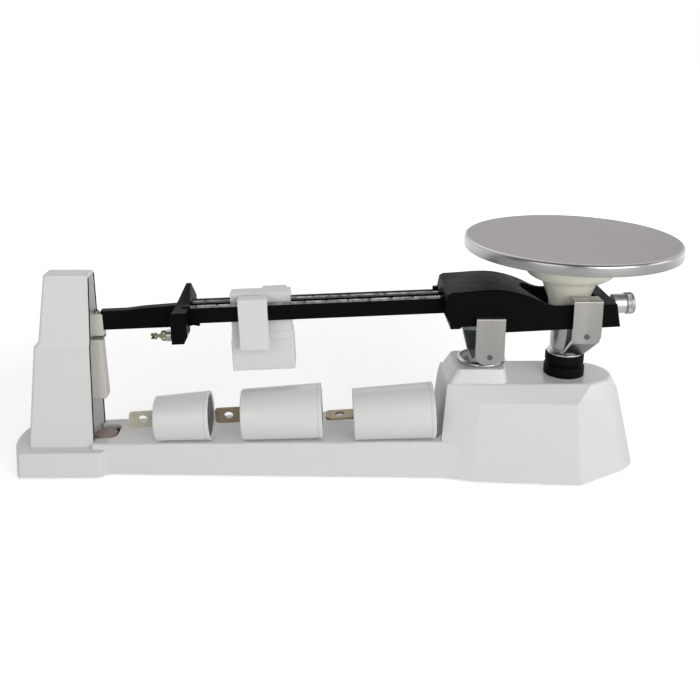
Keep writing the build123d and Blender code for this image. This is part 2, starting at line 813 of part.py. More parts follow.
# Stud through the lug, where an attachment weight's strip is hung
stud_plane = Plane(
    origin=beam_point(cross_start + cross_thickness, stud_height, lug_side + 3),
    x_dir=(0, 1, 0),
    z_dir=(-cos(tilt), 0, -sin(tilt)),
)
with BuildPart() as weight_stud:
    with BuildSketch(stud_plane):
        Circle(stud_radius)
    extrude(amount=cross_thickness + stud_end)
    with BuildSketch(stud_plane.offset(cross_thickness + stud_end - 3)):
        Circle(stud_head_radius)
    extrude(amount=4)
    with BuildSketch(stud_plane.offset(cross_thickness + stud_end - 1)):
        Rectangle(1.2, 6)
    extrude(amount=2.5, mode=Mode.SUBTRACT)
save(weight_stud, "weight_stud")

with BuildPart() as stud_washer:
    with BuildSketch(stud_plane.offset(cross_thickness)):
        Circle(stud_washer_radius)
        Circle(stud_radius + fit_gap, mode=Mode.SUBTRACT)
    extrude(amount=stud_washer_height)
save(stud_washer, "stud_washer")

with BuildPart() as star_nut:
    with BuildSketch(stud_plane.offset(cross_thickness + stud_washer_height)):
        Circle(star_radius)
        with PolarLocations(star_radius, 6):
            Rectangle(*star_point)
        Circle(stud_radius + fit_gap, mode=Mode.SUBTRACT)
    extrude(amount=star_height)
save(star_nut, "star_nut")

# Zero adjuster: threaded stud, smooth weight and knurled knob
zero_plane = Plane(
    origin=beam_point(box_end + 1.1, zero_axis), x_dir=(0, 1, 0), z_dir=(cos(tilt), 0, sin(tilt))
)
with BuildPart() as zero_stud:
    with BuildSketch(zero_plane.offset(-box_wall)):
        Circle(zero_stud_radius)
    extrude(amount=box_wall + zero_stud_length)
save(zero_stud, "zero_stud")

with BuildPart() as zero_weight:
    with BuildSketch(zero_plane.offset(zero_gap)):
        Circle(zero_weight_radius)
        Circle(zero_stud_radius + running_gap, mode=Mode.SUBTRACT)
    extrude(amount=zero_weight_length)
save(zero_weight, "zero_weight")

with BuildPart() as zero_knob:
    knob_plane = zero_plane.offset(zero_gap + zero_weight_length)
    with BuildSketch(knob_plane):
        Circle(zero_knob_radius)
    extrude(amount=zero_knob_length)
    fillet(zero_knob.faces().sort_by(Axis.X)[-1].edges(), radius=knob_round)
    with BuildSketch(knob_plane):
        Circle(zero_stud_radius + running_gap)
    extrude(amount=zero_knob_length, mode=Mode.SUBTRACT)
    with BuildSketch(knob_plane):
        with PolarLocations(zero_knob_radius, knob_grooves):
            Rectangle(knob_groove, knob_groove)
    extrude(amount=zero_knob_length - knob_round, mode=Mode.SUBTRACT)
save(zero_knob, "zero_knob")


def strap_section(width_at, foot_z, bend_z, top_z, flat_half):
    # Half of a U strap seen along the beam, mirrored: flat below, arms drawn out past the beam, then upright
    inner = box_half + swing_gap
    outer = inner + strap_thickness
    with BuildSketch(Plane(origin=width_at, x_dir=(0, 1, 0), z_dir=(1, 0, 0))) as outline:
        with BuildLine():
            Polyline(
                (0, foot_z), (flat_half, foot_z), (outer, bend_z), (outer, top_z), (inner, top_z),
                (inner, bend_z + strap_thickness), (flat_half, foot_z + strap_thickness), (0, foot_z + strap_thickness),
                close=True,
            )
        make_face()
        corners = outline.vertices().sort_by(Axis.X)
        fillet([v for v in corners if abs(v.X - flat_half) < bend_radius], radius=bend_radius)
        fillet([v for v in outline.vertices() if abs(v.X - outer) < 0.1 and v.Y < top_z - 1], radius=bend_radius)
        mirror(about=Plane.YZ)
    return outline.sketch


# Fulcrum: dish, yoke, bearings, bolt and nut
with BuildPart() as fulcrum_dish:
    with BuildSketch(axis_plane(fulcrum_x, pedestal_top)):
        with BuildLine():
            Polyline((bolt_hole_radius, 0), (dish_radius - 1.4, 0))
            ThreePointArc((dish_radius - 1.4, 0), (dish_radius, 1.4), (dish_radius - 1.4, 2.8))
            Polyline((dish_radius - 1.4, 2.8), (dish_radius - 2.8, dish_height), (bolt_hole_radius, dish_height))
            Line((bolt_hole_radius, dish_height), (bolt_hole_radius, 0))
        make_face()
    revolve(axis=upright_axis(fulcrum_x))
save(fulcrum_dish, "fulcrum_dish")

yoke_foot_z = pedestal_top + dish_height
fulcrum_arm_top = fulcrum_z + 6
with BuildPart() as fulcrum_yoke:
    fulcrum_strap = strap_section((fulcrum_x, 0, 0), yoke_foot_z, yoke_foot_z + 8.2, fulcrum_arm_top, 10)
    extrude(fulcrum_strap, amount=arm_width / 2, both=True)
    with BuildSketch(Plane.XZ):
        with BuildLine():
            base_half = fulcrum_base_width / 2
            Polyline(
                (fulcrum_x - base_half, yoke_foot_z - 1), (fulcrum_x + base_half, yoke_foot_z - 1),
                (fulcrum_x + arm_width / 2, yoke_foot_z + 10), (fulcrum_x + arm_width / 2, fulcrum_arm_top + 1),
                (fulcrum_x - arm_width / 2, fulcrum_arm_top + 1), (fulcrum_x - arm_width / 2, yoke_foot_z + 10),
                close=True,
            )
        make_face()
    extrude(amount=2 * box_half, both=True, mode=Mode.INTERSECT)
    # Windows for the bearings, open at the top for the knife
    with BuildSketch(Plane.XZ):
        with Locations((fulcrum_x, fulcrum_z + window_reach / 2 - bearing_body - fit_gap)):
            Rectangle(bearing_width + 2 * fit_gap, window_reach)
    extrude(amount=2 * box_half, both=True, mode=Mode.SUBTRACT)
    with Locations((fulcrum_x, 0, yoke_foot_z + strap_thickness)):
        Hole(bolt_hole_radius, depth=4)
save(fulcrum_yoke, "fulcrum_yoke")


def bearing_sketch(pivot, edge_up):
    # A bearing stone with a wide groove that the knife edge lies in
    up = 1 if edge_up else -1
    with BuildSketch(Plane(origin=pivot, x_dir=(1, 0, 0), z_dir=(0, -1, 0))) as outline:
        with BuildLine():
            half = bearing_width / 2
            lip = -up * bearing_groove
            Polyline(
                (0, up * running_gap), (half - 1, lip), (half, lip), (half, up * bearing_body),
                (-half, up * bearing_body), (-half, lip), (-half + 1, lip), close=True,
            )
        make_face()
    return outline.sketch


arm_inner = box_half + swing_gap
with BuildPart() as fulcrum_bearings:
    for side in (-1, 1):
        extrude(bearing_sketch((fulcrum_x, side * arm_inner, fulcrum_z), False), amount=-side * strap_thickness)
save(fulcrum_bearings, "fulcrum_bearings")

bolt_head_z = pedestal_top - pedestal_roof - bolt_head_height
with BuildPart() as fulcrum_bolt:
    with BuildSketch(Plane((fulcrum_x, 0, bolt_head_z))):
        RegularPolygon(nut_radius, 6)
    extrude(amount=bolt_head_height)
    with BuildSketch(Plane((fulcrum_x, 0, bolt_head_z))):
        Circle(bolt_radius)
    extrude(amount=yoke_foot_z + strap_thickness + 5.5 - bolt_head_z)
save(fulcrum_bolt, "fulcrum_bolt")

with BuildPart() as fulcrum_nut:
    with BuildSketch(Plane((fulcrum_x, 0, yoke_foot_z + strap_thickness))):
        RegularPolygon(nut_radius, 6)
        Circle(bolt_radius + fit_gap, mode=Mode.SUBTRACT)
    extrude(amount=nut_height)
save(fulcrum_nut, "fulcrum_nut")

# Hanger: yoke round the beam, bearings over the load knives, post, washer and stem
hanger_foot_z = boot_top + washer_thickness
hanger_arm_top = hanger_cover_top - cover_sheet - 4.6
with BuildPart() as hanger_yoke:
    hanger_strap = strap_section((pan_x, 0, 0), hanger_foot_z, hanger_foot_z + 12, hanger_arm_top, post_radius + 0.6)
    extrude(hanger_strap, amount=arm_width, both=True)
    with BuildSketch(Plane.XZ):
        with BuildLine():
            base_middle = pan_x + hanger_base_shift
            Polyline(
                (base_middle - hanger_base_width / 2, hanger_foot_z - 1),
                (base_middle + hanger_base_width / 2, hanger_foot_z - 1),
                (load_x + arm_width / 2, hanger_foot_z + 14), (load_x + arm_width / 2, hanger_arm_top + 1),
                (load_x - arm_width / 2, hanger_arm_top + 1), (load_x - arm_width / 2, hanger_foot_z + 14),
                close=True,
            )
        make_face()
    extrude(amount=2 * box_half, both=True, mode=Mode.INTERSECT)
    with BuildSketch(Plane.XZ):
        with Locations((load_x, load_z - window_reach / 2 + bearing_body + fit_gap)):
            Rectangle(bearing_width + 2 * fit_gap, window_reach)
    extrude(amount=2 * box_half, both=True, mode=Mode.SUBTRACT)
    with Locations((pan_x, 0, hanger_foot_z + strap_thickness)):
        Hole(stem_radius / 2 + fit_gap, depth=4)
save(hanger_yoke, "hanger_yoke")

with BuildPart() as hanger_bearings:
    for side in (-1, 1):
        extrude(bearing_sketch((load_x, side * arm_inner, load_z), True), amount=-side * strap_thickness)
save(hanger_bearings, "hanger_bearings")

post_foot_z = hanger_foot_z + strap_thickness
with BuildPart() as hanger_post:
    with BuildSketch(Plane((pan_x, 0, post_foot_z))):
        Circle(post_radius)
    extrude(amount=support_bottom - post_foot_z)
    chamfer(hanger_post.edges().filter_by(GeomType.CIRCLE), length=0.8)
    with Locations((pan_x, 0, post_foot_z)):
        Hole(stem_radius / 2 + fit_gap, depth=16)
save(hanger_post, "hanger_post")

with BuildPart() as boot_washer:
    with BuildSketch(Plane((pan_x, 0, boot_top))):
        Circle(washer_radius)
        Circle(stem_radius / 2 + fit_gap, mode=Mode.SUBTRACT)
    extrude(amount=washer_thickness)
    chamfer(boot_washer.edges().group_by(Axis.Z)[-1].sort_by(SortBy.RADIUS)[-1], length=0.5)
save(boot_washer, "boot_washer")

# Stem down to the check link, forked at its lower end, with its pin
stem_pin_z = link_pin_z + load_arm * sin(tilt)
fork_half = link_thickness / 2 + 0.4
with BuildPart() as hanger_stem:
    with BuildSketch(Plane((pan_x, 0, stem_pin_z - 6))):
        Circle(stem_radius)
    extrude(amount=boot_top - stem_pin_z + 6)
    with BuildSketch(Plane((pan_x, 0, boot_top))):
        Circle(stem_radius / 2)
    extrude(amount=washer_thickness + strap_thickness + 7)
    with BuildSketch(Plane((pan_x, 0, stem_pin_z - 6))):
        Rectangle(4 * stem_radius, 2 * fork_half)
    extrude(amount=14, mode=Mode.SUBTRACT)
    with BuildSketch(Plane(origin=(pan_x, 0, stem_pin_z), x_dir=(1, 0, 0), z_dir=(0, -1, 0))):
        Circle(pin_radius + fit_gap)
    extrude(amount=2 * stem_radius, both=True, mode=Mode.SUBTRACT)
save(hanger_stem, "hanger_stem")

with BuildPart() as stem_pin:
    with BuildSketch(Plane(origin=(pan_x, 0, stem_pin_z), x_dir=(1, 0, 0), z_dir=(0, -1, 0))):
        Circle(pin_radius)
    extrude(amount=stem_radius + 1, both=True)
save(stem_pin, "stem_pin")


def cover_plate(middle_x, top_z, height, lip, side):
    # A sheet cover hooked over the arm: upright plate with round lower corners, and a lip folded inwards
    face_y = side * (arm_inner + strap_thickness + fit_gap)
    with BuildPart() as cover:
        plane = Plane(origin=(middle_x, face_y, top_z - height / 2), x_dir=(-side, 0, 0), z_dir=(0, side, 0))
        with BuildSketch(plane) as plate:
            Rectangle(cover_width, height)
            fillet(plate.vertices().group_by(Axis.Y)[0], radius=cover_corner)
            with Locations((0, cover_screw_height - height / 2)):
                Circle(cover_screw_radius + fit_gap, mode=Mode.SUBTRACT)
        extrude(amount=cover_sheet)
        with BuildSketch(Plane((middle_x, face_y - side * lip / 2 + side * cover_sheet / 2, top_z - cover_sheet))):
            Rectangle(cover_width, lip + cover_sheet)
        extrude(amount=cover_sheet)
        outer_edge = cover.edges().filter_by(Axis.X).group_by(Axis.Z)[-1].sort_by(Axis.Y)
        fillet(outer_edge[0 if side < 0 else -1], radius=cover_sheet * 0.8)
    return cover


cover_places = (
    ("fulcrum", fulcrum_x, fulcrum_cover_top, fulcrum_cover_height, fulcrum_lip),
    ("hanger", load_x, hanger_cover_top, hanger_cover_height, hanger_lip),
)
for place, middle_x, top_z, height, lip in cover_places:
    for side, side_name in ((-1, "near"), (1, "far")):
        cover = cover_plate(middle_x, top_z, height, lip, side)
        save(cover, f"{place}_cover_{side_name}")
    with BuildPart() as cover_screws:
        for side in (-1, 1):
            face_y = side * (arm_inner + strap_thickness + fit_gap)
            screw_z = top_z - height + cover_screw_height
            head_plane = Plane(
                origin=(middle_x, face_y + side * cover_sheet, screw_z), x_dir=(1, 0, 0), z_dir=(0, side, 0)
            )
            with BuildSketch(head_plane):
                Circle(cover_screw_head)
                Rectangle(screw_slot, 2 * cover_screw_head, mode=Mode.SUBTRACT)
            extrude(amount=cover_screw_rise)
            with BuildSketch(head_plane):
                Circle(cover_screw_radius)
            extrude(amount=-(cover_sheet + fit_gap))
    save(cover_screws, f"{place}_cover_screws")

# Rubber boot on the deck, hollow round the stem
with BuildPart() as boot:
    with BuildSketch(axis_plane(pan_x)):
        with BuildLine():
            Polyline(
                (boot_low_radius - boot_wall, deck_z), (boot_low_radius, deck_z), (boot_low_radius, 75.6),
                (boot_groove_radius, 77.2), (boot_high_radius, 78.6), (boot_high_radius, boot_top),
                (boot_high_radius - 3, boot_top), (boot_high_radius - 3, boot_top - boot_wall),
                (boot_high_radius - boot_wall, boot_top - boot_wall), (boot_high_radius - boot_wall, 79.3),
                (boot_groove_radius - boot_wall, 77.2), (boot_low_radius - boot_wall, 75), close=True,
            )
        make_face()
    revolve(axis=upright_axis(pan_x))
save(boot, "boot")

# Ivory pan support: a cone through the beam's opening, opening out into a bowl under the pan
pan_under_z = pan_top_z - pan_sheet
with BuildPart() as pan_support:
    with BuildSketch(axis_plane(pan_x)):
        with BuildLine():
            Polyline((0, support_bottom), (support_low_radius, support_bottom), (support_step_radius, support_step))
            Line((support_step_radius, support_step), (support_bowl_radius, support_step + 0.3))
            Spline(
                (support_bowl_radius, support_step + 0.3), (support_bowl_radius + 6, support_step + 3),
                (support_top_radius - 4, support_step + 9), (support_top_radius, pan_under_z),
            )
            Polyline(
                (support_top_radius, pan_under_z), (support_top_radius - support_wall, pan_under_z),
                (support_top_radius - support_wall - 5, support_step + 10), (support_bowl_radius + 2, support_step + 5),
                (0, support_step + 5), (0, support_bottom),
            )
        make_face()
    revolve(axis=upright_axis(pan_x))
save(pan_support, "pan_support")

# Pan: a shallow spun disc with a rolled rim, and a locating ring under it
with BuildPart() as weighing_pan:
    with BuildSketch(axis_plane(pan_x)):
        with BuildLine():
            rim = pan_diameter / 2
            low_z = pan_top_z - pan_rim_height
            Polyline((0, pan_under_z), (0, pan_top_z), (rim - pan_rim_radius, pan_top_z))
            ThreePointArc(
                (rim - pan_rim_radius, pan_top_z),
                (rim - pan_rim_radius * (1 - sqrt(0.5)), pan_top_z - pan_rim_radius * (1 - sqrt(0.5))),
                (rim, pan_top_z - pan_rim_radius),
            )
            Line((rim, pan_top_z - pan_rim_radius), (rim, low_z + 0.9))
            ThreePointArc((rim, low_z + 0.9), (rim - 0.9, low_z), (rim - 1.8, low_z + 0.9))
            Polyline(
                (rim - 1.8, low_z + 0.9), (rim - pan_sheet, low_z + 1.4), (rim - pan_sheet, pan_top_z - pan_rim_radius),
                (rim - pan_rim_radius, pan_under_z), (0, pan_under_z),
            )
        make_face()
    revolve(axis=upright_axis(pan_x))
save(weighing_pan, "weighing_pan")

with BuildPart() as pan_ring:
    with BuildSketch(Plane((pan_x, 0, pan_under_z))):
        Circle(ring_radius)
        Circle(ring_radius - 1.2, mode=Mode.SUBTRACT)
    extrude(amount=-ring_height)
save(pan_ring, "pan_ring")

# Check link and the post that carries it under the deck
post_pivot_x = pan_x - load_arm * cos(tilt)
with BuildPart() as link_post:
    with BuildSketch(axis_plane(post_pivot_x)):
        with BuildLine():
            Polyline(
                (-12, deck_z - casting_wall), (-12, link_pin_z - 6), (5, link_pin_z - 6), (5, link_pin_z + 6),
                (-4, link_pin_z + 14), (-4, deck_z - casting_wall), close=True,
            )
        make_face()
    extrude(amount=2 * link_thickness, both=True)
    with BuildSketch(axis_plane(post_pivot_x)):
        with Locations((2, link_pin_z)):
            Rectangle(16, 24)
    extrude(amount=fork_half, both=True, mode=Mode.SUBTRACT)
    with BuildSketch(axis_plane(post_pivot_x)):
        with Locations((0, link_pin_z)):
            Circle(pin_radius + fit_gap)
    extrude(amount=4 * link_thickness, both=True, mode=Mode.SUBTRACT)
save(link_post, "link_post")

with BuildPart() as link_pin:
    with BuildSketch(Plane(origin=(post_pivot_x, 0, link_pin_z), x_dir=(1, 0, 0), z_dir=(0, -1, 0))):
        Circle(pin_radius)
    extrude(amount=2 * link_thickness + 0.5, both=True)
save(link_pin, "link_pin")

with BuildPart() as check_link:
    link_plane = Plane(
        origin=(post_pivot_x, 0, link_pin_z), x_dir=(cos(tilt), 0, sin(tilt)), z_dir=(0, -1, 0)
    )
    with BuildSketch(link_plane):
        with Locations((load_arm / 2, 0)):
            SlotCenterToCenter(load_arm, link_height)
        Circle(pin_radius + running_gap, mode=Mode.SUBTRACT)
        with Locations((load_arm, 0)):
            Circle(pin_radius + touch_gap, mode=Mode.SUBTRACT)
    extrude(amount=link_thickness / 2, both=True)
save(check_link, "check_link")


def poise_block(start, end, front, back, bottom, top, slot_across, slot_top):
    # A poise: a block astride its bar, with the slot open below
    with BuildPart() as block:
        with BuildSketch(beam_section(start)):
            with BuildLine():
                Polyline((front, bottom), (back, bottom), (back, top), (front, top), close=True)
            make_face()
            with Locations((slot_across, (bottom + slot_top) / 2 - 5)):
                Rectangle(bar_thickness + 2 * slide_gap, slot_top - bottom + 10, mode=Mode.SUBTRACT)
        extrude(amount=end - start)
        fillet(block.faces().sort_by(Axis.Y)[0].edges(), radius=poise_round)
    return block


slot_top = bar_top + running_gap
near_poise_start = near_notch_zero - 8 * near_notch_pitch - 0.66
near_poise = poise_block(near_poise_start, near_poise_start + 20.6, -17, -6.9, -12.4, 25.9, -bar_pitch, slot_top)
save(near_poise, "near_poise")

middle_poise_start = middle_notch_zero - 4 * middle_notch_pitch - 6.9
middle_upper = poise_block(middle_poise_start, middle_poise_start + 43.1, -5, 6.5, -8, 28.6, 0, slot_top)
with BuildPart() as middle_poise:
    add(middle_upper.part)
    with BuildSketch(beam_section(middle_poise_start - 0.5)):
        with BuildLine():
            Polyline((-5, -32.1), (14, -32.1), (14, -9.5), (6.5, -8), (6.5, -0.5), (-5, -0.5), close=True)
        make_face()
        with Locations((0, 2)):
            Rectangle(bar_thickness + 2 * slide_gap, 10, mode=Mode.SUBTRACT)
    extrude(amount=44.1)
    with BuildSketch(beam_section(middle_poise_start - 0.8)):
        with BuildLine():
            Polyline((-5, -32.1), (14, -32.1), (14, -9.5), (-5, -7.5), close=True)
        make_face()
    extrude(amount=44.7)
save(middle_poise, "middle_poise")

far_poise_start = -159.6
far_poise = poise_block(
    far_poise_start, far_poise_start + 17.4, 7.9, 16, 1, 25, bar_pitch, bar_top - far_bar_drop + running_gap
)
save(far_poise, "far_poise")


# Attachment weights: tapered, lying on the rail, each with a strip to hang it by
for name, left_x, length, small, large, across, roll in weight_rows:
    cone = atan2(large - small, length)
    slope = atan2(rail_right_top - rail_left_top, rail_end_x - rail_start_x)
    climb = cone + slope
    start_z = rail_top(left_x) + (small + touch_gap) / cos(cone)
    weight_plane = Plane(
        origin=(left_x, across, start_z), x_dir=(cos(climb), 0, sin(climb)), z_dir=(0, -1, 0)
    )
    with BuildPart() as weight:
        with BuildSketch(weight_plane) as profile:
            with BuildLine():
                Polyline(
                    (0, 0), (0, small), (length - rim_groove - 0.6, large - 0.2), (length - rim_groove, large - 0.8),
                    (length - rim_groove + 0.6, large - 0.2), (length, large), (length, 0), close=True,
                )
            make_face()
            fillet(profile.vertices().sort_by(Axis.X)[1], radius=weight_round)
            fillet(profile.vertices().sort_by(Axis.X)[-1], radius=weight_round)
        revolve(axis=Axis(weight_plane.origin, weight_plane.x_dir))
        strip_location = weight_plane.location * Location((0, 0, 0), (roll, 0, 0))
        strip_plane = Plane(strip_location)
        with BuildSketch(strip_plane):
            with Locations((strip_depth / 2 - 1, 0)):
                Rectangle(strip_depth + 2, strip_width + 2 * fit_gap)
        extrude(amount=strip_thickness / 2 + fit_gap, both=True, mode=Mode.SUBTRACT)
    save(weight, name)
    with BuildPart() as strip:
        with BuildSketch(strip_plane) as strip_outline:
            with Locations(((strip_depth - strip_reach) / 2, 0)):
                Rectangle(strip_depth + strip_reach, strip_width)
            fillet(strip_outline.vertices().sort_by(Axis.X)[:2], radius=3)
            with Locations((strip_hole_inset - strip_reach, 0)):
                Circle(strip_hole_radius, mode=Mode.SUBTRACT)
        extrude(amount=strip_thickness / 2, both=True)
    save(strip, name + "_strip")
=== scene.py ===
import json
from math import atan2, cos, pi, radians

import bmesh
import bpy
import numpy as np
from mathutils import Matrix, Vector


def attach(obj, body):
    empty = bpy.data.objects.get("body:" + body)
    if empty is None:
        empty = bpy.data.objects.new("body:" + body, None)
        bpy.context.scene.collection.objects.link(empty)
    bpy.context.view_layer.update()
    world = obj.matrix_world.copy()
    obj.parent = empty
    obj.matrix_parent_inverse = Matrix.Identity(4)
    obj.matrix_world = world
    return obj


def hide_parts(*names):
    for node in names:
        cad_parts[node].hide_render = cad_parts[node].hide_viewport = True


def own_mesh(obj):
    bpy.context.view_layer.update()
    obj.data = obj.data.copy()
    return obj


# A mechanical triple beam balance, dressed over its CAD frame: metres, +X towards the pan, +Z up, -Y near.

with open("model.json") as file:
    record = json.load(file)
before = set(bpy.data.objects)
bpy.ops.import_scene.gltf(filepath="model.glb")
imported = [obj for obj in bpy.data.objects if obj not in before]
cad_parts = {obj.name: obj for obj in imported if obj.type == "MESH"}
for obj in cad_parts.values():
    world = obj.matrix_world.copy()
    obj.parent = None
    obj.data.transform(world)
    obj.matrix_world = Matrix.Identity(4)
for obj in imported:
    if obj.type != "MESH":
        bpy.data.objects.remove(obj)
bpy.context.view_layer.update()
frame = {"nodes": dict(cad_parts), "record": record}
print("frame loaded:", len(frame["nodes"]), "nodes")

mm = 0.001
panX = 162 * mm
fulcrumX = 100.8 * mm
beam = dict(pivot=Vector((fulcrumX, 0, 112 * mm)), tilt=radians(2.4))
beamToWorld = Matrix.Translation(beam["pivot"]) @ Matrix.Rotation(-beam["tilt"], 4, "Y")
bodyOf = {node: body for body, nodes in frame["record"]["behaviour"]["bodies"].items() for node in nodes}


def mathsNode(tree, kind, *values):
    # One sum on up to three values, each a number or an output
    node = tree.nodes.new("ShaderNodeMath")
    node.operation = kind
    for socket, value in zip(node.inputs, values):
        if isinstance(value, (int, float)):
            socket.default_value = value
        else:
            tree.links.new(value, socket)
    return node.outputs["Value"]


def rampNode(tree, value, low, high, start, end):
    # low becomes start and high becomes end, straight between them and held outside
    node = tree.nodes.new("ShaderNodeMapRange")
    for socket, amount in (("From Min", low), ("From Max", high), ("To Min", start), ("To Max", end)):
        node.inputs[socket].default_value = amount
    tree.links.new(value, node.inputs["Value"])
    return node.outputs["Result"]


class Nodes:
    # Adds shader nodes to one material, each linked as it is made; coordinates are the object's own
    def __init__(self, material, centre=(0, 0, 0), turn=0.0, stretch=(1, 1, 1)):
        self.tree = material.node_tree
        coordinates = self.tree.nodes.new("ShaderNodeTexCoord")
        mapping = self.tree.nodes.new("ShaderNodeMapping")
        mapping.vector_type = "TEXTURE"
        mapping.inputs["Location"].default_value = centre
        mapping.inputs["Rotation"].default_value = (0, turn, 0)
        mapping.inputs["Scale"].default_value = stretch
        self.tree.links.new(coordinates.outputs["Object"], mapping.inputs["Vector"])
        self.place = mapping.outputs["Vector"]

    def link(self, output, socket):
        # one wire from an output to a socket
        self.tree.links.new(output, socket)

    def noise(self, scale, detail=2.0, vector=None, rough=0.5):
        # cloudy grey from 0 to 1, finer as the scale grows
        node = self.tree.nodes.new("ShaderNodeTexNoise")
        node.inputs["Scale"].default_value = scale
        node.inputs["Detail"].default_value = detail
        node.inputs["Roughness"].default_value = rough
        self.link(vector or self.place, node.inputs["Vector"])
        return node.outputs["Fac"]

    def ramp(self, value, low, high, start=0.0, end=1.0):
        return rampNode(self.tree, value, low, high, start, end)

    def maths(self, kind, *values):
        return mathsNode(self.tree, kind, *values)

    def colours(self, factor, first, second):
        # the first colour where the factor is 0, the second where it is 1, mixed between
        node = self.tree.nodes.new("ShaderNodeMix")
        node.data_type = "RGBA"
        self.link(factor, node.inputs["Factor"])
        for socket, colour in ((node.inputs[6], first), (node.inputs[7], second)):
            if isinstance(colour, tuple):
                socket.default_value = (*colour, 1)
            else:
                self.link(colour, socket)
        return node.outputs[2]

    def bump(self, shader, height, strength, distance):
        # the surface is lit as if it rose by the height times the distance
        node = self.tree.nodes.new("ShaderNodeBump")
        node.inputs["Strength"].default_value = strength
        node.inputs["Distance"].default_value = distance
        self.link(height, node.inputs["Height"])
        self.link(node.outputs["Normal"], shader.inputs["Normal"])

    def axes(self):
        # the pattern's own x, y and z
        node = self.tree.nodes.new("ShaderNodeSeparateXYZ")
        self.link(self.place, node.inputs["Vector"])
        return node.outputs["X"], node.outputs["Y"], node.outputs["Z"]

    def around(self):
        # distance from the pattern's own upright axis, as a point, so that noise over it makes rings
        across, along, _ = self.axes()
        reach = self.maths("SQRT", self.maths("ADD", self.maths("MULTIPLY", across, across),
                                              self.maths("MULTIPLY", along, along)))
        combine = self.tree.nodes.new("ShaderNodeCombineXYZ")
        self.link(reach, combine.inputs["X"])
        return reach, combine.outputs["Vector"]


def newMaterial(name, colour, roughness, metallic=0.0, coat=0.0):
    # What is the same all over the surface is set on the shader's own sockets
    material = bpy.data.materials.new(name)
    material.use_nodes = True
    shader = material.node_tree.nodes["Principled BSDF"]
    shader.inputs["Base Color"].default_value = (*colour, 1)
    shader.inputs["Roughness"].default_value = roughness
    shader.inputs["Metallic"].default_value = metallic
    shader.inputs["Coat Weight"].default_value = coat
    return material, shader


paintDetail = dict(cloud=9, fine=160, sheen=25, glossier=0.02, duller=0.03, coat=0.15, peel=0.06, height=0.0004,
                   spotShade=0.6)


def enamel(name, colour, stain, roughness=0.34, grain=700, grime=0.03, metallic=0.0, specks=0.0):
    # Paint or moulding: a faint orange peel, slow shifts of tone and a little grime
    coat = paintDetail["coat"] if metallic == 0 else 0.0
    material, shader = newMaterial(name, colour, roughness, metallic, coat)
    make = Nodes(material)
    slow = make.ramp(make.noise(paintDetail["cloud"], 1), 0.3, 0.8)
    fine = make.ramp(make.noise(paintDetail["fine"], 4, rough=0.65), 0.55, 0.8)
    tone = make.colours(make.maths("MULTIPLY", slow, grime), colour, stain)
    if specks:  # small worn or stained spots
        spots = tuple(c * paintDetail["spotShade"] for c in stain)
        tone = make.colours(make.maths("MULTIPLY", fine, specks), tone, spots)
    make.link(tone, shader.inputs["Base Color"])
    sheen = make.ramp(make.noise(paintDetail["sheen"], 1), 0.2, 0.8,
                      roughness - paintDetail["glossier"], roughness + paintDetail["duller"])
    make.link(sheen, shader.inputs["Roughness"])
    make.bump(shader, make.noise(grain, 2), paintDetail["peel"], paintDetail["height"])
    return material


grainDetail = dict(broad=30, glossier=0.06, duller=0.08, shade=0.76, height=0.0002)


def brushed(name, colour, roughness, stretch, scale=2400, strength=0.10):
    # Sheet or turned metal: noise drawn out along the stretched axis makes fine straight lines
    material, shader = newMaterial(name, colour, roughness, 1.0)
    make = Nodes(material, stretch=stretch)
    lines = make.noise(scale, 3)
    broad = make.noise(scale / grainDetail["broad"], 3)
    gloss = make.ramp(lines, 0.3, 0.7, roughness - grainDetail["glossier"], roughness + grainDetail["duller"])
    make.link(gloss, shader.inputs["Roughness"])
    dark = tuple(c * grainDetail["shade"] for c in colour)
    make.link(make.colours(make.ramp(broad, 0.35, 0.75), colour, dark), shader.inputs["Base Color"])
    make.bump(shader, lines, strength, grainDetail["height"])
    return material


def screened(name, colour, thin):
    # Figures printed through a screen: a little thin in places
    material, shader = newMaterial(name, colour, 0.5)
    make = Nodes(material)
    make.link(make.colours(make.ramp(make.noise(2600, 3), 0.5, 0.8), colour, thin), shader.inputs["Base Color"])
    return material


whitePaint = enamel("whitePaint", (0.72, 0.72, 0.705), (0.60, 0.58, 0.52), 0.30)
stripMetal = enamel("stripMetal", (0.33, 0.27, 0.18), (0.12, 0.09, 0.05), 0.42, 900, 0.9, 0.7, 0.7)
cream = enamel("cream", (0.655, 0.635, 0.585), (0.50, 0.46, 0.38), 0.45, 500, 0.3)
ivory = enamel("ivory", (0.78, 0.77, 0.67), (0.66, 0.63, 0.50), 0.28, 400, 0.2)
paleStrip = enamel("paleStrip", (0.56, 0.54, 0.44), (0.30, 0.27, 0.20), 0.45, 900, 0.6, 0.5, 0.3)
# Dark iron of the weights' end discs, which also stands in for painted shade inside their hollow ends
darkIronAndShade = enamel("darkIronAndShade", (0.05, 0.05, 0.052), (0.02, 0.02, 0.02), 0.6, 700, 0.6)
oliveFelt = enamel("oliveFelt", (0.17, 0.16, 0.12), (0.09, 0.085, 0.06), 0.8, 900, 0.5)
brassMetal = enamel("brassMetal", (0.50, 0.46, 0.34), (0.16, 0.13, 0.08), 0.30, 900, 0.8, 0.9, 0.5)
darkWire = enamel("darkWire", (0.10, 0.10, 0.10), (0.04, 0.04, 0.04), 0.35, 900, 0.5, 0.9)
# The pocket felt's dark brown is partly its own colour and partly painted shade of the pocket by the tower's mouth
brownFeltAndShade = enamel("brownFeltAndShade", (0.40, 0.31, 0.27), (0.10, 0.05, 0.035), 0.7, 900, 0.8, 0.0, 0.3)
nickel = brushed("nickel", (0.54, 0.525, 0.505), 0.36, (1, 1, 12))
brightSteel = brushed("brightSteel", (0.58, 0.57, 0.55), 0.24, (1, 1, 6), 1600)
turnedSteel = brushed("turnedSteel", (0.55, 0.555, 0.56), 0.18, (8, 8, 1), 2000)
plainSteel = brushed("plainSteel", (0.36, 0.36, 0.36), 0.4, (6, 1, 1), 900)
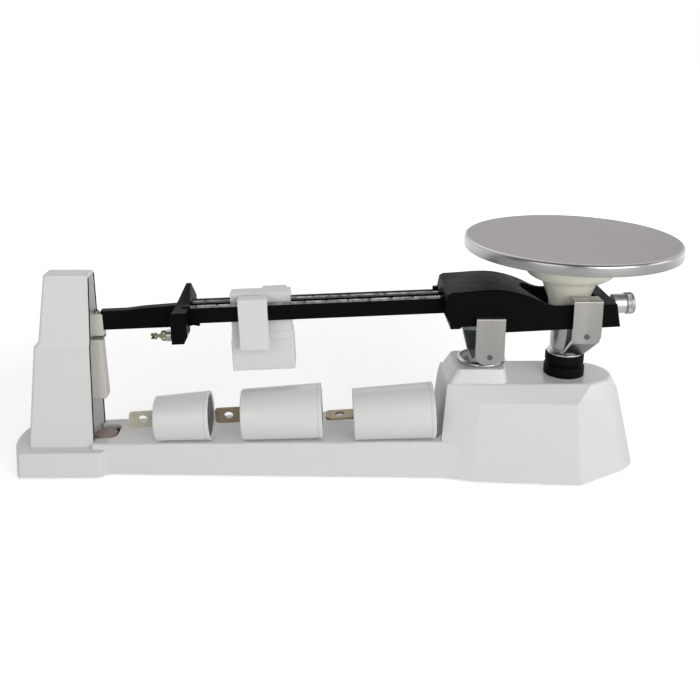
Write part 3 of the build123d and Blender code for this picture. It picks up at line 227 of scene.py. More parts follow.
zinc = brushed("zinc", (0.34, 0.375, 0.40), 0.45, (1, 1, 8), 1200)
screwSteel = brushed("screwSteel", (0.22, 0.22, 0.22), 0.25, (6, 1, 1), 1200)
aluminium = brushed("aluminium", (0.84, 0.84, 0.845), 0.42, (1, 1, 8), 1500, 0.05)
dullKnob = brushed("dullKnob", (0.52, 0.52, 0.525), 0.42, (1, 1, 8), 1500, 0.05)

rubberBlack, rubberShader = newMaterial("rubberBlack", (0.004, 0.004, 0.005), 0.6)
rubberShader.inputs["Specular IOR Level"].default_value = 0.06
make = Nodes(rubberBlack)
make.bump(rubberShader, make.noise(900, 3), 0.15, 0.0003)
make.link(make.ramp(make.noise(60, 3), 0.3, 0.7, 0.42, 0.66), rubberShader.inputs["Roughness"])

stone, stoneShader = newMaterial("stone", (0.12, 0.09, 0.08), 0.15)
make = Nodes(stone)
veins = make.ramp(make.noise(500, 5), 0.4, 0.65)
make.link(make.colours(veins, (0.16, 0.12, 0.10), (0.05, 0.035, 0.03)), stoneShader.inputs["Base Color"])

figureWhite = screened("figureWhite", (0.75, 0.75, 0.73), (0.5, 0.5, 0.49))
figureBlack = screened("figureBlack", (0.02, 0.02, 0.02), (0.08, 0.08, 0.08))

# Black enamel of the beam: bare metal shows where the tops of two bars are machined
bareTops = dict(black=(0.0034, 0.0032, 0.0036), metal=(0.36, 0.35, 0.33), halfWidth=0.0019, pitch=0.011,
                low=0.01895, high=0.0204, left=-0.2085, right=-0.0325)
beamBlack, beamShader = newMaterial("beamBlack", bareTops["black"], 0.44)
beamShader.inputs["Specular IOR Level"].default_value = 0.05
make = Nodes(beamBlack, tuple(beam["pivot"]), -beam["tilt"])
alongBeam, acrossBeam, upBeam = make.axes()
onNear = make.maths("ABSOLUTE", make.maths("ADD", acrossBeam, bareTops["pitch"]))
onMiddle = make.maths("ABSOLUTE", acrossBeam)
onBar = make.maths("LESS_THAN", make.maths("MINIMUM", onNear, onMiddle), bareTops["halfWidth"])
onTop = make.maths("MULTIPLY", make.maths("GREATER_THAN", upBeam, bareTops["low"]),
                   make.maths("LESS_THAN", upBeam, bareTops["high"]))
inRun = make.maths("MULTIPLY", make.maths("GREATER_THAN", alongBeam, bareTops["left"]),
                   make.maths("LESS_THAN", alongBeam, bareTops["right"]))
wear = make.ramp(make.noise(220, 4), 0.35, 0.6, 0.25, 1.0)
bare = make.maths("MULTIPLY", make.maths("MULTIPLY", onBar, onTop), make.maths("MULTIPLY", inRun, wear))
make.link(make.colours(bare, bareTops["black"], bareTops["metal"]), beamShader.inputs["Base Color"])
make.link(bare, beamShader.inputs["Metallic"])
make.link(make.ramp(make.noise(120, 2), 0.3, 0.7, 0.40, 0.48), beamShader.inputs["Roughness"])
make.bump(beamShader, make.noise(650, 3), 0.12, 0.0004)

# Spun steel of the pan: rings round its axis; the flat is matt, and the turned-down rim is polished; the flat is also
# coloured half as bright as the rim, painted shade on the pan's top
spun = dict(flat=(0.235, 0.222, 0.214), worn=(0.222, 0.211, 0.203), rim=(0.47, 0.46, 0.445),
            inner=0.0735, outer=0.0752)
panSteel, panShader = newMaterial("panSteel", spun["flat"], 0.34, 1.0)
make = Nodes(panSteel, (panX, 0, 0))
reach, ringPoint = make.around()
rings = make.noise(2600, 3, ringPoint)
onRim = make.ramp(reach, spun["inner"], spun["outer"])
flatRough = make.ramp(rings, 0.3, 0.7, 0.36, 0.46)
rimRough = make.ramp(rings, 0.3, 0.7, 0.20, 0.30)
make.link(make.maths("ADD", make.maths("MULTIPLY", flatRough, make.maths("SUBTRACT", 1.0, onRim)),
                     make.maths("MULTIPLY", rimRough, onRim)), panShader.inputs["Roughness"])
# Painted shade: the flat top takes the darker colour and the rim the brighter one, though both are the same steel
shadedFlatTone = make.colours(make.ramp(make.noise(60, 3), 0.35, 0.8), spun["flat"], spun["worn"])
make.link(make.colours(onRim, shadedFlatTone, spun["rim"]), panShader.inputs["Base Color"])
make.bump(panShader, rings, 0.12, 0.0002)
print("materials made")

finishes = {
    whitePaint: ["base_casting", "tower_cover", "small_weight", "large_weight_left", "large_weight_right",
                 "near_poise", "middle_poise", "far_poise"],
    beamBlack: ["beam_casting"],
    darkWire: ["pointer_loop"],
    brightSteel: ["bottom_screws", "tower_screws", "damper_screws",
                  "fulcrum_bolt", "fulcrum_nut", "zero_stud",
                  "link_pin", "stem_pin", "boot_washer", "fulcrum_dish", "stud_washer"],
    brassMetal: ["weight_stud", "star_nut"],
    nickel: ["fulcrum_cover_near", "fulcrum_cover_far", "hanger_cover_near", "hanger_cover_far"],
    turnedSteel: ["hanger_post", "hanger_stem", "fulcrum_knife", "load_knives", "hanger_yoke"],
    plainSteel: ["bottom_cover", "damper_bracket", "damper_magnets"],
    aluminium: ["damper_vane", "zero_scale_plate", "link_post", "check_link", "zero_weight"],
    dullKnob: ["zero_knob"],
    panSteel: ["weighing_pan", "pan_ring"],
    stone: ["fulcrum_bearings", "hanger_bearings"],
    cream: ["damper_housing", "pointer_block"],
    ivory: ["pan_support"],
    rubberBlack: ["boot", "rubber_feet"],
    stripMetal: ["large_weight_left_strip", "large_weight_right_strip"],
    paleStrip: ["small_weight_strip"],
    zinc: ["fulcrum_yoke"],
    screwSteel: ["fulcrum_cover_screws", "hanger_cover_screws"],
    oliveFelt: ["stop_pad"],
}
finishOf = {name: material for material, names in finishes.items() for name in names}
for name, material in finishOf.items():
    node = frame["nodes"][name]
    node.data.materials.clear()
    node.data.materials.append(material)
print("CAD nodes given their finishes")


def finishPiece(piece, node, material=None, replaces=True):
    # The piece takes the node's finish and body, and hides the node unless it is only an addition
    piece.data.materials.clear()
    piece.data.materials.append(material or finishOf[node])
    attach(piece, bodyOf[node])
    if replaces:
        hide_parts(node)
    return piece


def newObject(name, mesh):
    # A piece's object stays at the origin: its place is in its mesh
    piece = bpy.data.objects.new(name, mesh)
    bpy.context.scene.collection.objects.link(piece)
    return piece


def tidyMesh(mesh, sharp=34):
    # Seams and poles closed, faces outwards, smooth but for edges past the sharp angle
    work = bmesh.new()
    work.from_mesh(mesh)
    bmesh.ops.remove_doubles(work, verts=work.verts, dist=2e-6)
    bmesh.ops.dissolve_degenerate(work, edges=work.edges, dist=1e-6)
    bmesh.ops.recalc_face_normals(work, faces=work.faces)
    work.to_mesh(mesh)
    work.free()
    mesh.shade_smooth()
    mesh.set_sharp_from_angle(angle=radians(sharp))


def softCorners(points, reach, steps=6):
    # Each inner corner P of the line gives way to the curve (1-s)^2 A + 2s(1-s) P + s^2 C,
    # where A and C lie the reach away from P along its two sides, at most 0.48 of the shorter one,
    # and s runs from 0 to 1
    points = np.array(points, float)
    corner = points[1:-1]
    before = points[:-2] - corner
    after = points[2:] - corner
    lengthBefore = np.linalg.norm(before, axis=1, keepdims=True)
    lengthAfter = np.linalg.norm(after, axis=1, keepdims=True)
    most = np.minimum(lengthBefore, lengthAfter) * 0.48
    reach = np.minimum(np.broadcast_to(np.array(reach, float).reshape(-1, 1), most.shape), most)
    start = corner + before / lengthBefore * reach
    end = corner + after / lengthAfter * reach
    s = np.linspace(0, 1, steps)[None, :, None]
    curve = (1 - s) ** 2 * start[:, None] + 2 * s * (1 - s) * corner[:, None] + s ** 2 * end[:, None]
    return np.vstack((points[:1], curve.reshape(-1, 2), points[-1:]))


def placed(points, place):
    # Each point is turned by the place's matrix and then shifted by its translation
    return points @ np.array(place.to_3x3()).T + np.array(place.translation)


def turned(name, profile, place, count=96, share=None):
    # Surface of revolution: a profile point (r, h) at angle a stands at (r cos a, r sin a, h), and place
    # carries it to the piece; share scales r by a table over the profile's points and the angles
    profile = np.array(profile, float) * mm
    angle = np.arange(count) * 2 * pi / count
    radius = profile[:, :1] * (np.ones(count) if share is None else share(profile / mm, angle))
    height = np.broadcast_to(profile[:, 1:], radius.shape)
    grid = np.stack((radius * np.cos(angle), radius * np.sin(angle), height), axis=-1)
    return gridPiece(name, grid, place)


def gridPiece(name, grid, place=Matrix()):
    # Rows by columns of points become quads, and the last column joins the first
    rows, columns = grid.shape[:2]
    index = np.arange(rows * columns).reshape(rows, columns)
    index = np.hstack((index, index[:, :1]))
    faces = np.stack((index[:-1, :-1], index[:-1, 1:], index[1:, 1:], index[1:, :-1]), axis=-1)
    mesh = bpy.data.meshes.new(name)
    mesh.from_pydata(placed(grid.reshape(-1, 3), place).tolist(), [], faces.reshape(-1, 4).tolist())
    tidyMesh(mesh)
    return newObject(name, mesh)


def capped(grid):
    # One more row before the first and after the last, each gathered in its neighbour's middle, closes the ends
    ends = grid[[0, -1]].mean(axis=1, keepdims=True).repeat(grid.shape[1], axis=1)
    return np.concatenate((ends[:1], grid, ends[1:]))


def upright(x):
    # The place of a piece turned about the upright line at x
    return Matrix.Translation((x, 0, 0))


def alongBeamPlace(along, up, across=0.0):
    # Places a turned piece with its axis along the beam
    return beamToWorld @ Matrix.Translation((along, across, up)) @ Matrix.Rotation(pi / 2, 4, "Y")


def mergedCopy(node, name):
    # A CAD node's loose triangles, merged, with its flat faces made whole
    mesh = frame["nodes"][node].data.copy()
    mesh.name = name
    work = bmesh.new()
    work.from_mesh(mesh)
    bmesh.ops.remove_doubles(work, verts=work.verts, dist=1e-6)
    bmesh.ops.dissolve_limit(work, angle_limit=radians(0.6), verts=work.verts, edges=work.edges)
    bmesh.ops.recalc_face_normals(work, faces=work.faces)
    work.to_mesh(mesh)
    work.free()
    return mesh


edgeRounds = dict(casting=(2, 28), block=(3, 20))  # segments of the round, and the least turn in degrees


def edgesRounded(piece, width, kind):
    # Each edge whose faces turn by more than the least angle becomes a small round of that width
    segments, sharp = edgeRounds[kind]
    bevel = piece.modifiers.new("Bevel", "BEVEL")
    bevel.width = width
    bevel.segments = segments
    bevel.limit_method = "ANGLE"
    bevel.angle_limit = radians(sharp)
    piece.modifiers.new("Weighted", "WEIGHTED_NORMAL").keep_sharp = True


def softened(node, width, reshape=None):
    # A merged copy of a casting or pressing, its points moved by reshape, with its edges rounded
    mesh = mergedCopy(node, node + "_soft")
    if reshape:
        points = np.empty(len(mesh.vertices) * 3)
        mesh.vertices.foreach_get("co", points)
        mesh.vertices.foreach_set("co", reshape(points.reshape(-1, 3)).ravel())
    mesh.shade_smooth()
    piece = newObject(node + "_soft", mesh)
    edgesRounded(piece, width, "casting")
    finishPiece(piece, node)


deeperBars = dict(left=-0.2095, right=-0.0305, low=0.0074, high=0.0105, drop=0.0018, tip=-0.2723, reach=0.0015)


def fuller(points):
    # In the beam's own place, the undersides of the three bars drop, and the pointer bar's tip reaches on
    place = placed(points, beamToWorld.inverted())
    along, up = place[:, 0], place[:, 2]
    onBars = (along > deeperBars["left"]) & (along < deeperBars["right"])
    onBars &= (up > deeperBars["low"]) & (up < deeperBars["high"])
    place[onBars, 2] -= deeperBars["drop"]
    place[along < deeperBars["tip"], 0] -= deeperBars["reach"]
    return placed(place, beamToWorld)


strap = dict(foot=0.089, bend=0.0984, window=0.1042, rise=0.0042)


def bentHigher(points):
    # The strap turns upright just below the cover plate: its heights rise most at the bend, and not at
    # the foot or at the window, straight between them
    points[:, 2] += np.interp(points[:, 2], [strap["foot"], strap["bend"], strap["window"]], [0, strap["rise"], 0])
    return points


castings = dict(base_casting=0.0012, tower_cover=0.0006, far_poise=0.0005, fulcrum_yoke=0.0003,
                fulcrum_cover_near=0.0003, fulcrum_cover_far=0.0003,
                hanger_cover_near=0.0003, hanger_cover_far=0.0003, small_weight_strip=0.0002,
                large_weight_left_strip=0.0002, large_weight_right_strip=0.0002)
for node, width in castings.items():
    softened(node, width)
softened("beam_casting", 0.0007, fuller)
softened("hanger_yoke", 0.0003, bentHigher)
print("castings and pressings softened")


def blocks(name, parts, place, edge, along=True):
    # Each part (outline, start, end): the flat outline is carried from start to end, its two ends closed
    points, faces, base = [], [], 0
    for outline, start, end in parts:
        outline = np.array(outline, float)
        count = len(outline)
        ends = [np.insert(outline, 0 if along else 1, level, axis=1) for level in (start, end)]
        points.append(np.concatenate(ends) * mm)
        ring = np.arange(count)
        after = (ring + 1) % count
        sides = np.stack((ring, after, after + count, ring + count), axis=-1) + base
        faces += sides.tolist() + [(ring[::-1] + base).tolist(), (ring + count + base).tolist()]
        base += 2 * count
    mesh = bpy.data.meshes.new(name)
    mesh.from_pydata(placed(np.concatenate(points), place).tolist(), [], faces)
    tidyMesh(mesh, edgeRounds["block"][1])
    piece = newObject(name, mesh)
    edgesRounded(piece, edge * mm, "block")
    return piece


def slotted(part):
    # Outline across and up, open below: a block with a slot that rises to the height called over
    front, back, half, bottom = part["front"], part["back"], part["half"], part["bottom"]
    left, right = part["middle"] - half, part["middle"] + half
    return [(front, bottom), (left, bottom), (left, part["over"]), (right, part["over"]), (right, bottom),
            (back, bottom), (back, part["top"]), (front, part["top"])]


# Poises, in the beam's own place: each slot stands over its bar
nearPoise = dict(start=-175.0, end=-154.4, front=-17.0, back=-6.9, bottom=-12.4, top=25.0, middle=-11.0, half=2.1,
                 over=20.3, edge=0.5)
finishPiece(blocks("near_poise_block", [(slotted(nearPoise), nearPoise["start"], nearPoise["end"])],
                   beamToWorld, nearPoise["edge"]), "near_poise")
middlePoise = dict(
    start=-181.4, end=-138.3, edge=0.6, right=0.8, waistLeft=0.4, footLeft=1.0,
    saddle=dict(front=-5, back=6.5, bottom=-8.2, top=26.4, middle=0, half=2.1, over=20.3),
    waist=[(-5.3, -9.4), (6.8, -9.4), (6.8, -2.6), (2.3, -2.6), (2.3, -7.2), (-2.3, -7.2), (-2.3, -2.6),
           (-5.3, -2.6)],
    foot=[(-5, -32.1), (14, -32.1), (14, -10), (-5, -8.2)])
start, end, right = middlePoise["start"], middlePoise["end"], middlePoise["end"] + middlePoise["right"]
finishPiece(blocks("middle_poise_block", [
    (slotted(middlePoise["saddle"]), start, end), (middlePoise["waist"], start - middlePoise["waistLeft"], right),
    (middlePoise["foot"], start - middlePoise["footLeft"], right)], beamToWorld, middlePoise["edge"]), "middle_poise")

# Pointer block on the beam's end, and the damper housing in the tower's mouth: outlines along and up
pointerBlock = dict(half=3.5, edge=0.6, outline=[(-297.0, -1.8), (-272.9, -1.8), (-272.9, 14.4), (-283.5, 14.4),
                                                 (-297.0, 8.0)])
finishPiece(blocks("pointer_block_moulded", [(pointerBlock["outline"], -pointerBlock["half"], pointerBlock["half"])],
                   beamToWorld, pointerBlock["edge"], False), "pointer_block")
housing = dict(half=5, edge=0.8, outline=[(-198, 51), (-172.2, 51), (-171.6, 52.5), (-173.6, 96.2), (-198, 96.2)])
finishPiece(blocks("damper_housing_moulded", [(housing["outline"], -housing["half"], housing["half"])],
                   Matrix(), housing["edge"], False), "damper_housing")
print("poises, pointer block and housing made")

# Attachment weights on the rail, each a row of left end, length, small and large radius, and place across
rail = dict(left=-179.95, right=92.0, lowTop=23.2, highTop=28.5)
railSlope = atan2(rail["highTop"] - rail["lowTop"], rail["right"] - rail["left"])
weightShape = dict(round=1.1, groove=3.4, grooveHalf=0.5, grooveDepth=0.3, rim=1.8, rimFoot=2.2, dish=1.4, rest=0.3,
                   shadePlugRim=2.3, shadePlugSunk=0.5, shadePlugProud=0.4)
weightRows = dict(small_weight=(-134.6, 39.1, 15.7, 17.4, -14.0),
                  large_weight_left=(-73.0, 57.4, 17.9, 19.7, -15.1),
                  large_weight_right=(6.6, 57.6, 18.0, 20.0, -18.8))
for node, (left, length, small, large, across) in weightRows.items():
    cone = atan2(large - small, length)
    top = rail["lowTop"] + (left - rail["left"]) * (rail["highTop"] - rail["lowTop"]) / (rail["right"] - rail["left"])
    middle = top + (small + weightShape["rest"]) / cos(cone)
    lay = Matrix.Rotation(pi / 2 - cone - railSlope, 4, "Y")
    place = Matrix.Translation((left * mm, across * mm, middle * mm)) @ lay
    groove = length - weightShape["groove"]
    half = weightShape["grooveHalf"]
    deep = weightShape["grooveDepth"]
    bottom = length - weightShape["dish"]
    profile = softCorners(
        [(0, 0), (small, 0), (large - 0.3, groove - half), (large - 0.3 - deep, groove - 0.1),
         (large - 0.2 - deep, groove + 0.1), (large - 0.1, groove + half), (large, length),
         (large - weightShape["rim"], length), (large - weightShape["rimFoot"], bottom), (0, bottom)],
        [weightShape["round"], 0.35, 0.15, 0.15, 0.35, weightShape["round"], 0.3, 0.3])
    finishPiece(turned(node + "_turned", profile, place), node)
    # Painted shade: a dark disc in each weight's end recess, partly dark iron and partly standing in for the shade in
    # the hollow end
    low, high = bottom - weightShape["shadePlugSunk"], bottom + weightShape["shadePlugProud"]
    edge = large - weightShape["shadePlugRim"]
    shadePlug = softCorners([(0, low), (edge, low), (edge, high), (0, high)], [0.1, 0.5])
    finishPiece(turned(node + "_shade_plug", shadePlug, place), node, darkIronAndShade, replaces=False)
print("attachment weights turned")

# Pan, its support, the boot and the turned pieces between them, all about the pan's axis
pan = dict(radius=76.0, top=171.4, sheet=1.0, skirt=8.0, curl=2.0, curlTop=1.2, bead=1.7, drop=0.1,
           rounds=[2.4, 0.6, 0.4, 0.5, 0.4, 0.5, 1.4])
low = pan["top"] - pan["skirt"]
inside, curled = pan["radius"] - pan["sheet"], pan["radius"] - pan["curl"]
profile = softCorners(
    [(0, pan["top"]), (pan["radius"], pan["top"]), (pan["radius"], low + pan["drop"]), (inside, low),
     (curled, low + pan["drop"]), (curled, low + pan["curlTop"]), (inside, low + pan["bead"]),
     (inside, pan["top"] - pan["sheet"]), (0, pan["top"] - pan["sheet"])], pan["rounds"])
finishPiece(turned("weighing_pan_spun", profile, upright(panX), 192), "weighing_pan")

support = dict(
    outside=[(0, 119.5), (13.6, 119.5), (13.9, 124.7), (19.2, 138.5), (20.0, 140.1), (19.8, 140.9), (23.0, 141.1),
             (29.5, 143.9), (34.4, 150.7), (38.0, 170.4)],
    inside=[(35.5, 170.4), (30.5, 150.7), (25, 145.7), (0, 145.7)],
    rounds=[0.8, 6, 1.0, 0.4, 0.2, 1.2, 4.5, 6, 0.3, 0.3, 6, 6])
profile = softCorners(support["outside"] + support["inside"], support["rounds"])
finishPiece(turned("pan_support_moulded", profile, upright(panX), 128), "pan_support")

boot = dict(foot=69.0, shoulder=75.9, grooveLow=76.9, grooveHigh=77.4, collar=78.5, top=84.8, low=14.6, high=13.9,
            groove=12.3, wall=1.8, lip=3, inside=(79.2, 77.2, 75.2), keep=0.67,
            rounds=[0.5, 1.1, 0.5, 0.5, 1.0, 1.0, 0.3, 0.3, 0.3, 0.5, 0.5, 0.5])
inLow, inGroove, inHigh = (boot[part] - boot["wall"] for part in ("low", "groove", "high"))
profile = softCorners(
    [(inLow, boot["foot"]), (boot["low"], boot["foot"]), (boot["low"], boot["shoulder"]),
     (boot["groove"], boot["grooveLow"]), (boot["groove"], boot["grooveHigh"]), (boot["high"], boot["collar"]),
     (boot["high"], boot["top"]), (boot["high"] - boot["lip"], boot["top"]),
     (boot["high"] - boot["lip"], boot["top"] - boot["wall"]), (inHigh, boot["top"] - boot["wall"]),
     (inHigh, boot["inside"][0]), (inGroove, boot["inside"][1]), (inLow, boot["inside"][2]), (inLow, boot["foot"])],
    boot["rounds"])
rubber = finishPiece(turned("boot_moulded", profile, upright(panX)), "boot")
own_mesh(rubber)

washer = dict(foot=84.8, thick=1.6, radius=12.9, hole=2.05)
top = washer["foot"] + washer["thick"]
profile = softCorners(
    [(washer["hole"], washer["foot"]), (washer["radius"], washer["foot"]), (washer["radius"], top),
     (washer["hole"], top), (washer["hole"], washer["foot"])],
    [0.3, 0.5, 0.2])
finishPiece(turned("boot_washer_turned", profile, upright(panX)), "boot_washer")

post = dict(foot=89.0, top=119.5, radius=10.9, ring=5.0, ringHalf=0.4, ringDepth=0.5)
ring = post["top"] - post["ring"]
profile = softCorners(
    [(0, post["foot"]), (post["radius"], post["foot"]), (post["radius"], ring - post["ringHalf"]),
     (post["radius"] - post["ringDepth"], ring), (post["radius"], ring + post["ringHalf"]),
     (post["radius"], post["top"]), (0, post["top"])],
    [0.8, 0.2, 0.2, 0.2, 0.8])
finishPiece(turned("hanger_post_turned", profile, upright(panX)), "hanger_post")

dish = dict(hole=2.6, foot=78.8, plate=80.7, rounds=[0.8, 0.6, 0.8, 0.7, 0.7, 0.9, 0.2],
            rim=[(16.3, 78.8), (17.5, 79.4), (17.5, 81.0), (16.5, 81.7), (15.3, 81.3), (14.1, 80.7)])
bore = [(dish["hole"], dish["plate"]), (dish["hole"], dish["foot"])]
profile = softCorners(bore[1:] + dish["rim"] + bore, dish["rounds"])
finishPiece(turned("fulcrum_dish_rolled", profile, upright(fulcrumX)), "fulcrum_dish")
print("pan, support, boot and dish turned")

# Zero adjuster on the beam's end: a smooth weight and a knob with fine straight knurls
zero = dict(start=94.0, height=5.7, weight=9.0, weightRadius=7.1, knob=6.0, knobRadius=7.9, hole=2.1,
            knurls=56, knurlDepth=0.012, knurlFoot=0.6, knurlHead=1.9, knurlFade=0.3, knurlNarrow=1.6,
            knobRows=(0.5, 1.1, 2.6, 3.9, 4.3), knobFoot=0.2, knobHead=0.4)
profile = softCorners(
    [(zero["hole"], 0), (zero["weightRadius"], 0), (zero["weightRadius"], zero["weight"]),
     (zero["hole"], zero["weight"]), (zero["hole"], 0)],
    [0.7, 0.4, 0.2])
place = alongBeamPlace(zero["start"] * mm, zero["height"] * mm)
finishPiece(turned("zero_weight_turned", profile, place), "zero_weight")


def knurl(profile, angle):
    # Radius eased in by a share of its own that beats round the rim: deepest between two knurls
    low = profile[:, 1:] - zero["knurlFoot"]
    high = zero["knob"] - zero["knurlHead"] - profile[:, 1:]
    along = np.clip(np.minimum(low, high) / zero["knurlFade"], 0, 1)
    onRim = along * (profile[:, :1] > zero["knobRadius"] - 0.3)
    beat = 1 - np.abs(np.cos(angle * zero["knurls"] / 2))
    cut = np.clip(beat * zero["knurlNarrow"] - zero["knurlNarrow"] + 1, 0, 1)
    return 1 - zero["knurlDepth"] * onRim * cut * 2


profile = softCorners(
    [(zero["hole"], 0), (zero["knobRadius"] - zero["knobFoot"], 0)]
    + [(zero["knobRadius"], height) for height in zero["knobRows"]]
    + [(zero["knobRadius"] - zero["knobHead"], zero["knob"]), (zero["hole"], zero["knob"]), (zero["hole"], 0)],
    [0.2, 0.2, 0.1, 0.1, 0.1, 0.1, 1.2, 0.2])
place = alongBeamPlace((zero["start"] + zero["weight"]) * mm, zero["height"] * mm)
finishPiece(turned("zero_knob_knurled", profile, place, 224, knurl), "zero_knob")
print("zero adjuster turned")


def tube(name, path, radius, place, sides=12):
    # A round section carried along a flat path: at each point the section's circle stands square to the path
    path = np.array(path, float) * mm
    along = np.gradient(path, axis=0)
    along /= np.linalg.norm(along, axis=1, keepdims=True)
    side = np.stack((-along[:, 1], along[:, 0]), axis=-1)
    angle = np.arange(sides) * 2 * pi / sides
    ring = radius * mm
    grid = np.empty((len(path), sides, 3))
    grid[..., 0] = path[:, :1] + side[:, :1] * ring * np.cos(angle)
    grid[..., 2] = path[:, 1:] + side[:, 1:] * ring * np.cos(angle)
    grid[..., 1] = ring * np.sin(angle)
    return gridPiece(name, capped(grid), place)


# Small wire loop on the pointer block
loop = dict(middle=-277.6, head=14.4, half=1.5, straight=0.9, sunk=1, wire=0.5)
sweep = np.linspace(0, pi, 15)
arch = np.stack((loop["middle"] + loop["half"] * np.cos(sweep),
                 loop["head"] + loop["straight"] + loop["half"] * np.sin(sweep)), axis=-1)
path = np.vstack(([[loop["middle"] + loop["half"], loop["head"] - loop["sunk"]]], arch,
                  [[loop["middle"] - loop["half"], loop["head"] - loop["sunk"]]]))
finishPiece(tube("pointer_loop_wire", path, loop["wire"], beamToWorld), "pointer_loop")

# Stud in the beam's lug, with its fork, and a star nut with six soft lobes round its rim
stud = dict(start=-209.4, height=4.0, across=-24.0, length=19.6, radius=1.5, neck=1.1, neckEnd=21.0, head=2.3,
            headEnd=22.6, slope=0.4, forkStart=22.4, forkEnd=25.2, forkEdge=0.3,
            prong=[(0.7, -2.2), (1.9, -1.2), (2.3, 0), (1.9, 1.2), (0.7, 2.2)])
star = dict(bore=1.55, start=14.4, end=18.4, hub=3.0, low=15.4, high=17.2, radius=3.9,
            lobes=6, deep=0.20, lobesFrom=1.8, lobesFade=1.2)


def lobes(profile, angle):
    # Radius eased in between the lobes by a cosine of the angle times their number, but not at the bore
    onRim = np.clip((profile[:, :1] - star["lobesFrom"]) / star["lobesFade"], 0, 1)
    return 1 - star["deep"] * onRim * (0.5 - 0.5 * np.cos(star["lobes"] * angle))


studPlace = (alongBeamPlace(stud["start"] * mm, stud["height"] * mm, stud["across"] * mm)
             @ Matrix.Rotation(pi, 4, "X"))
rod = softCorners([(0, 0), (stud["radius"], 0), (stud["radius"], stud["length"]),
                   (stud["neck"], stud["length"] + stud["slope"]), (stud["neck"], stud["neckEnd"]),
                   (stud["head"], stud["neckEnd"] + stud["slope"]), (stud["head"], stud["headEnd"]),
                   (0, stud["headEnd"])],
                  [0.1, 0.2, 0.2, 0.2, 0.2, 0.3])
finishPiece(turned("weight_stud_rod", rod, studPlace, 48), "weight_stud")
other = [(-x, -y) for x, y in stud["prong"]]
standing = Matrix(((0, 1, 0, 0), (0, 0, 1, 0), (1, 0, 0, 0), (0, 0, 0, 1)))  # carries the fork's outline up the stud
prongs = blocks("weight_stud_fork", [(outline, stud["forkStart"], stud["forkEnd"])
                                     for outline in (stud["prong"], other)], studPlace @ standing, stud["forkEdge"])
finishPiece(prongs, "weight_stud", replaces=False)
nut = softCorners([(star["bore"], star["start"]), (star["hub"], star["start"]), (star["radius"], star["low"]),
                   (star["radius"], star["high"]), (star["hub"], star["end"]), (star["bore"], star["end"] + 0.2),
                   (star["bore"], star["start"])], [0.3, 0.6, 0.6, 0.5, 0.2])
finishPiece(turned("star_nut_cast", nut, studPlace, 96, lobes), "star_nut")

# Brown felt pad in the pocket by the tower's mouth: its dark brown is partly its own colour and partly painted shade
# of the pocket
feltAndShade = dict(x=-175.0, radius=8.4, crown=7.2, foot=20.5, edge=21.9, top=22.6, middle=22.8)
profile = softCorners([(0, feltAndShade["foot"]), (feltAndShade["radius"], feltAndShade["foot"]), (feltAndShade["radius"], feltAndShade["edge"]),
                       (feltAndShade["crown"], feltAndShade["top"]), (0, feltAndShade["middle"])], [0.4, 0.6, 1.2])
pad = turned("pocket_felt_and_shade", profile, upright(feltAndShade["x"] * mm), 64)
finishPiece(pad, "base_casting", brownFeltAndShade, replaces=False)

# Painted shade: thin black strips on the two sides of the tower's mouth stand in for the shade along its edges;
# heights and half widths of the cover's walls
mouthShade = dict(mouth=-180.0, sunk=0.1, out=0.45, inset=0.35, wide=1.3,
              heights=(21.5, 94.0, 97.0, 142.8), halves=(16.7, 14.0, 12.2, 8.2))
for side, word in ((-1, "near"), (1, "far")):
    outer = np.array(mouthShade["halves"])[:, None] - mouthShade["inset"]
    grid = np.empty((len(mouthShade["heights"]), 4, 3))
    grid[..., 0] = mouthShade["mouth"] + np.array([-mouthShade["sunk"], mouthShade["out"], mouthShade["out"], -mouthShade["sunk"]])
    grid[..., 1] = side * (outer - np.array([0, 0, mouthShade["wide"], mouthShade["wide"]]))
    grid[..., 2] = np.array(mouthShade["heights"])[:, None]
    finishPiece(gridPiece("mouth_shade_strip_" + word, capped(grid) * mm), "tower_cover", rubberBlack, replaces=False)
print("small pieces made")

# Numbers and ticks, in millimetres
figures = dict(sunk=0.02, proud=0.06, extrude=0.03, numberSize=4.2, numberDrop=5.4, gap=0.3,
               wholeTick=2.4, halfTick=1.9, smallTick=1.3, wholeWide=0.35, smallWide=0.22, curveSteps=3)


def flatBars(name, rectangles, place):
    # Each row (x, y, width, height) is a low block: its four corners below, and the same above
    rows = np.array(rectangles, float)
    x = rows[:, :1] + rows[:, 2:3] * np.array([[-0.5, 0.5, 0.5, -0.5]])
    y = rows[:, 1:2] + rows[:, 3:4] * np.array([[-0.5, -0.5, 0.5, 0.5]])
    flat = np.stack((x, y), axis=-1)
    low = np.concatenate((flat, np.full((*x.shape, 1), -figures["sunk"])), axis=-1)
    high = np.concatenate((flat, np.full((*x.shape, 1), figures["proud"])), axis=-1)
    points = np.concatenate((low, high), axis=1).reshape(-1, 3) * mm
    sides = np.array([[0, 3, 2, 1], [4, 5, 6, 7], [0, 1, 5, 4], [1, 2, 6, 5], [2, 3, 7, 6], [3, 0, 4, 7]])
    faces = (np.arange(len(rows))[:, None, None] * 8 + sides).reshape(-1, 4)
    mesh = bpy.data.meshes.new(name)
    mesh.from_pydata(placed(points, place).tolist(), [], faces.tolist())
    return mesh


def figureMesh(text, size, place):
    # One number as a low solid, made a mesh before its place is applied
    curve = bpy.data.curves.new("figure", "FONT")
    curve.body = text
    curve.size = size * mm
    curve.extrude = figures["extrude"] * mm
    curve.align_x = "CENTER"
    curve.align_y = "CENTER"
    curve.resolution_u = figures["curveSteps"]
    holder = newObject("figure", curve)
    bpy.context.view_layer.update()
    mesh = bpy.data.meshes.new_from_object(holder.evaluated_get(bpy.context.evaluated_depsgraph_get()))
    bpy.data.objects.remove(holder)
    mesh.transform(place)
    return mesh


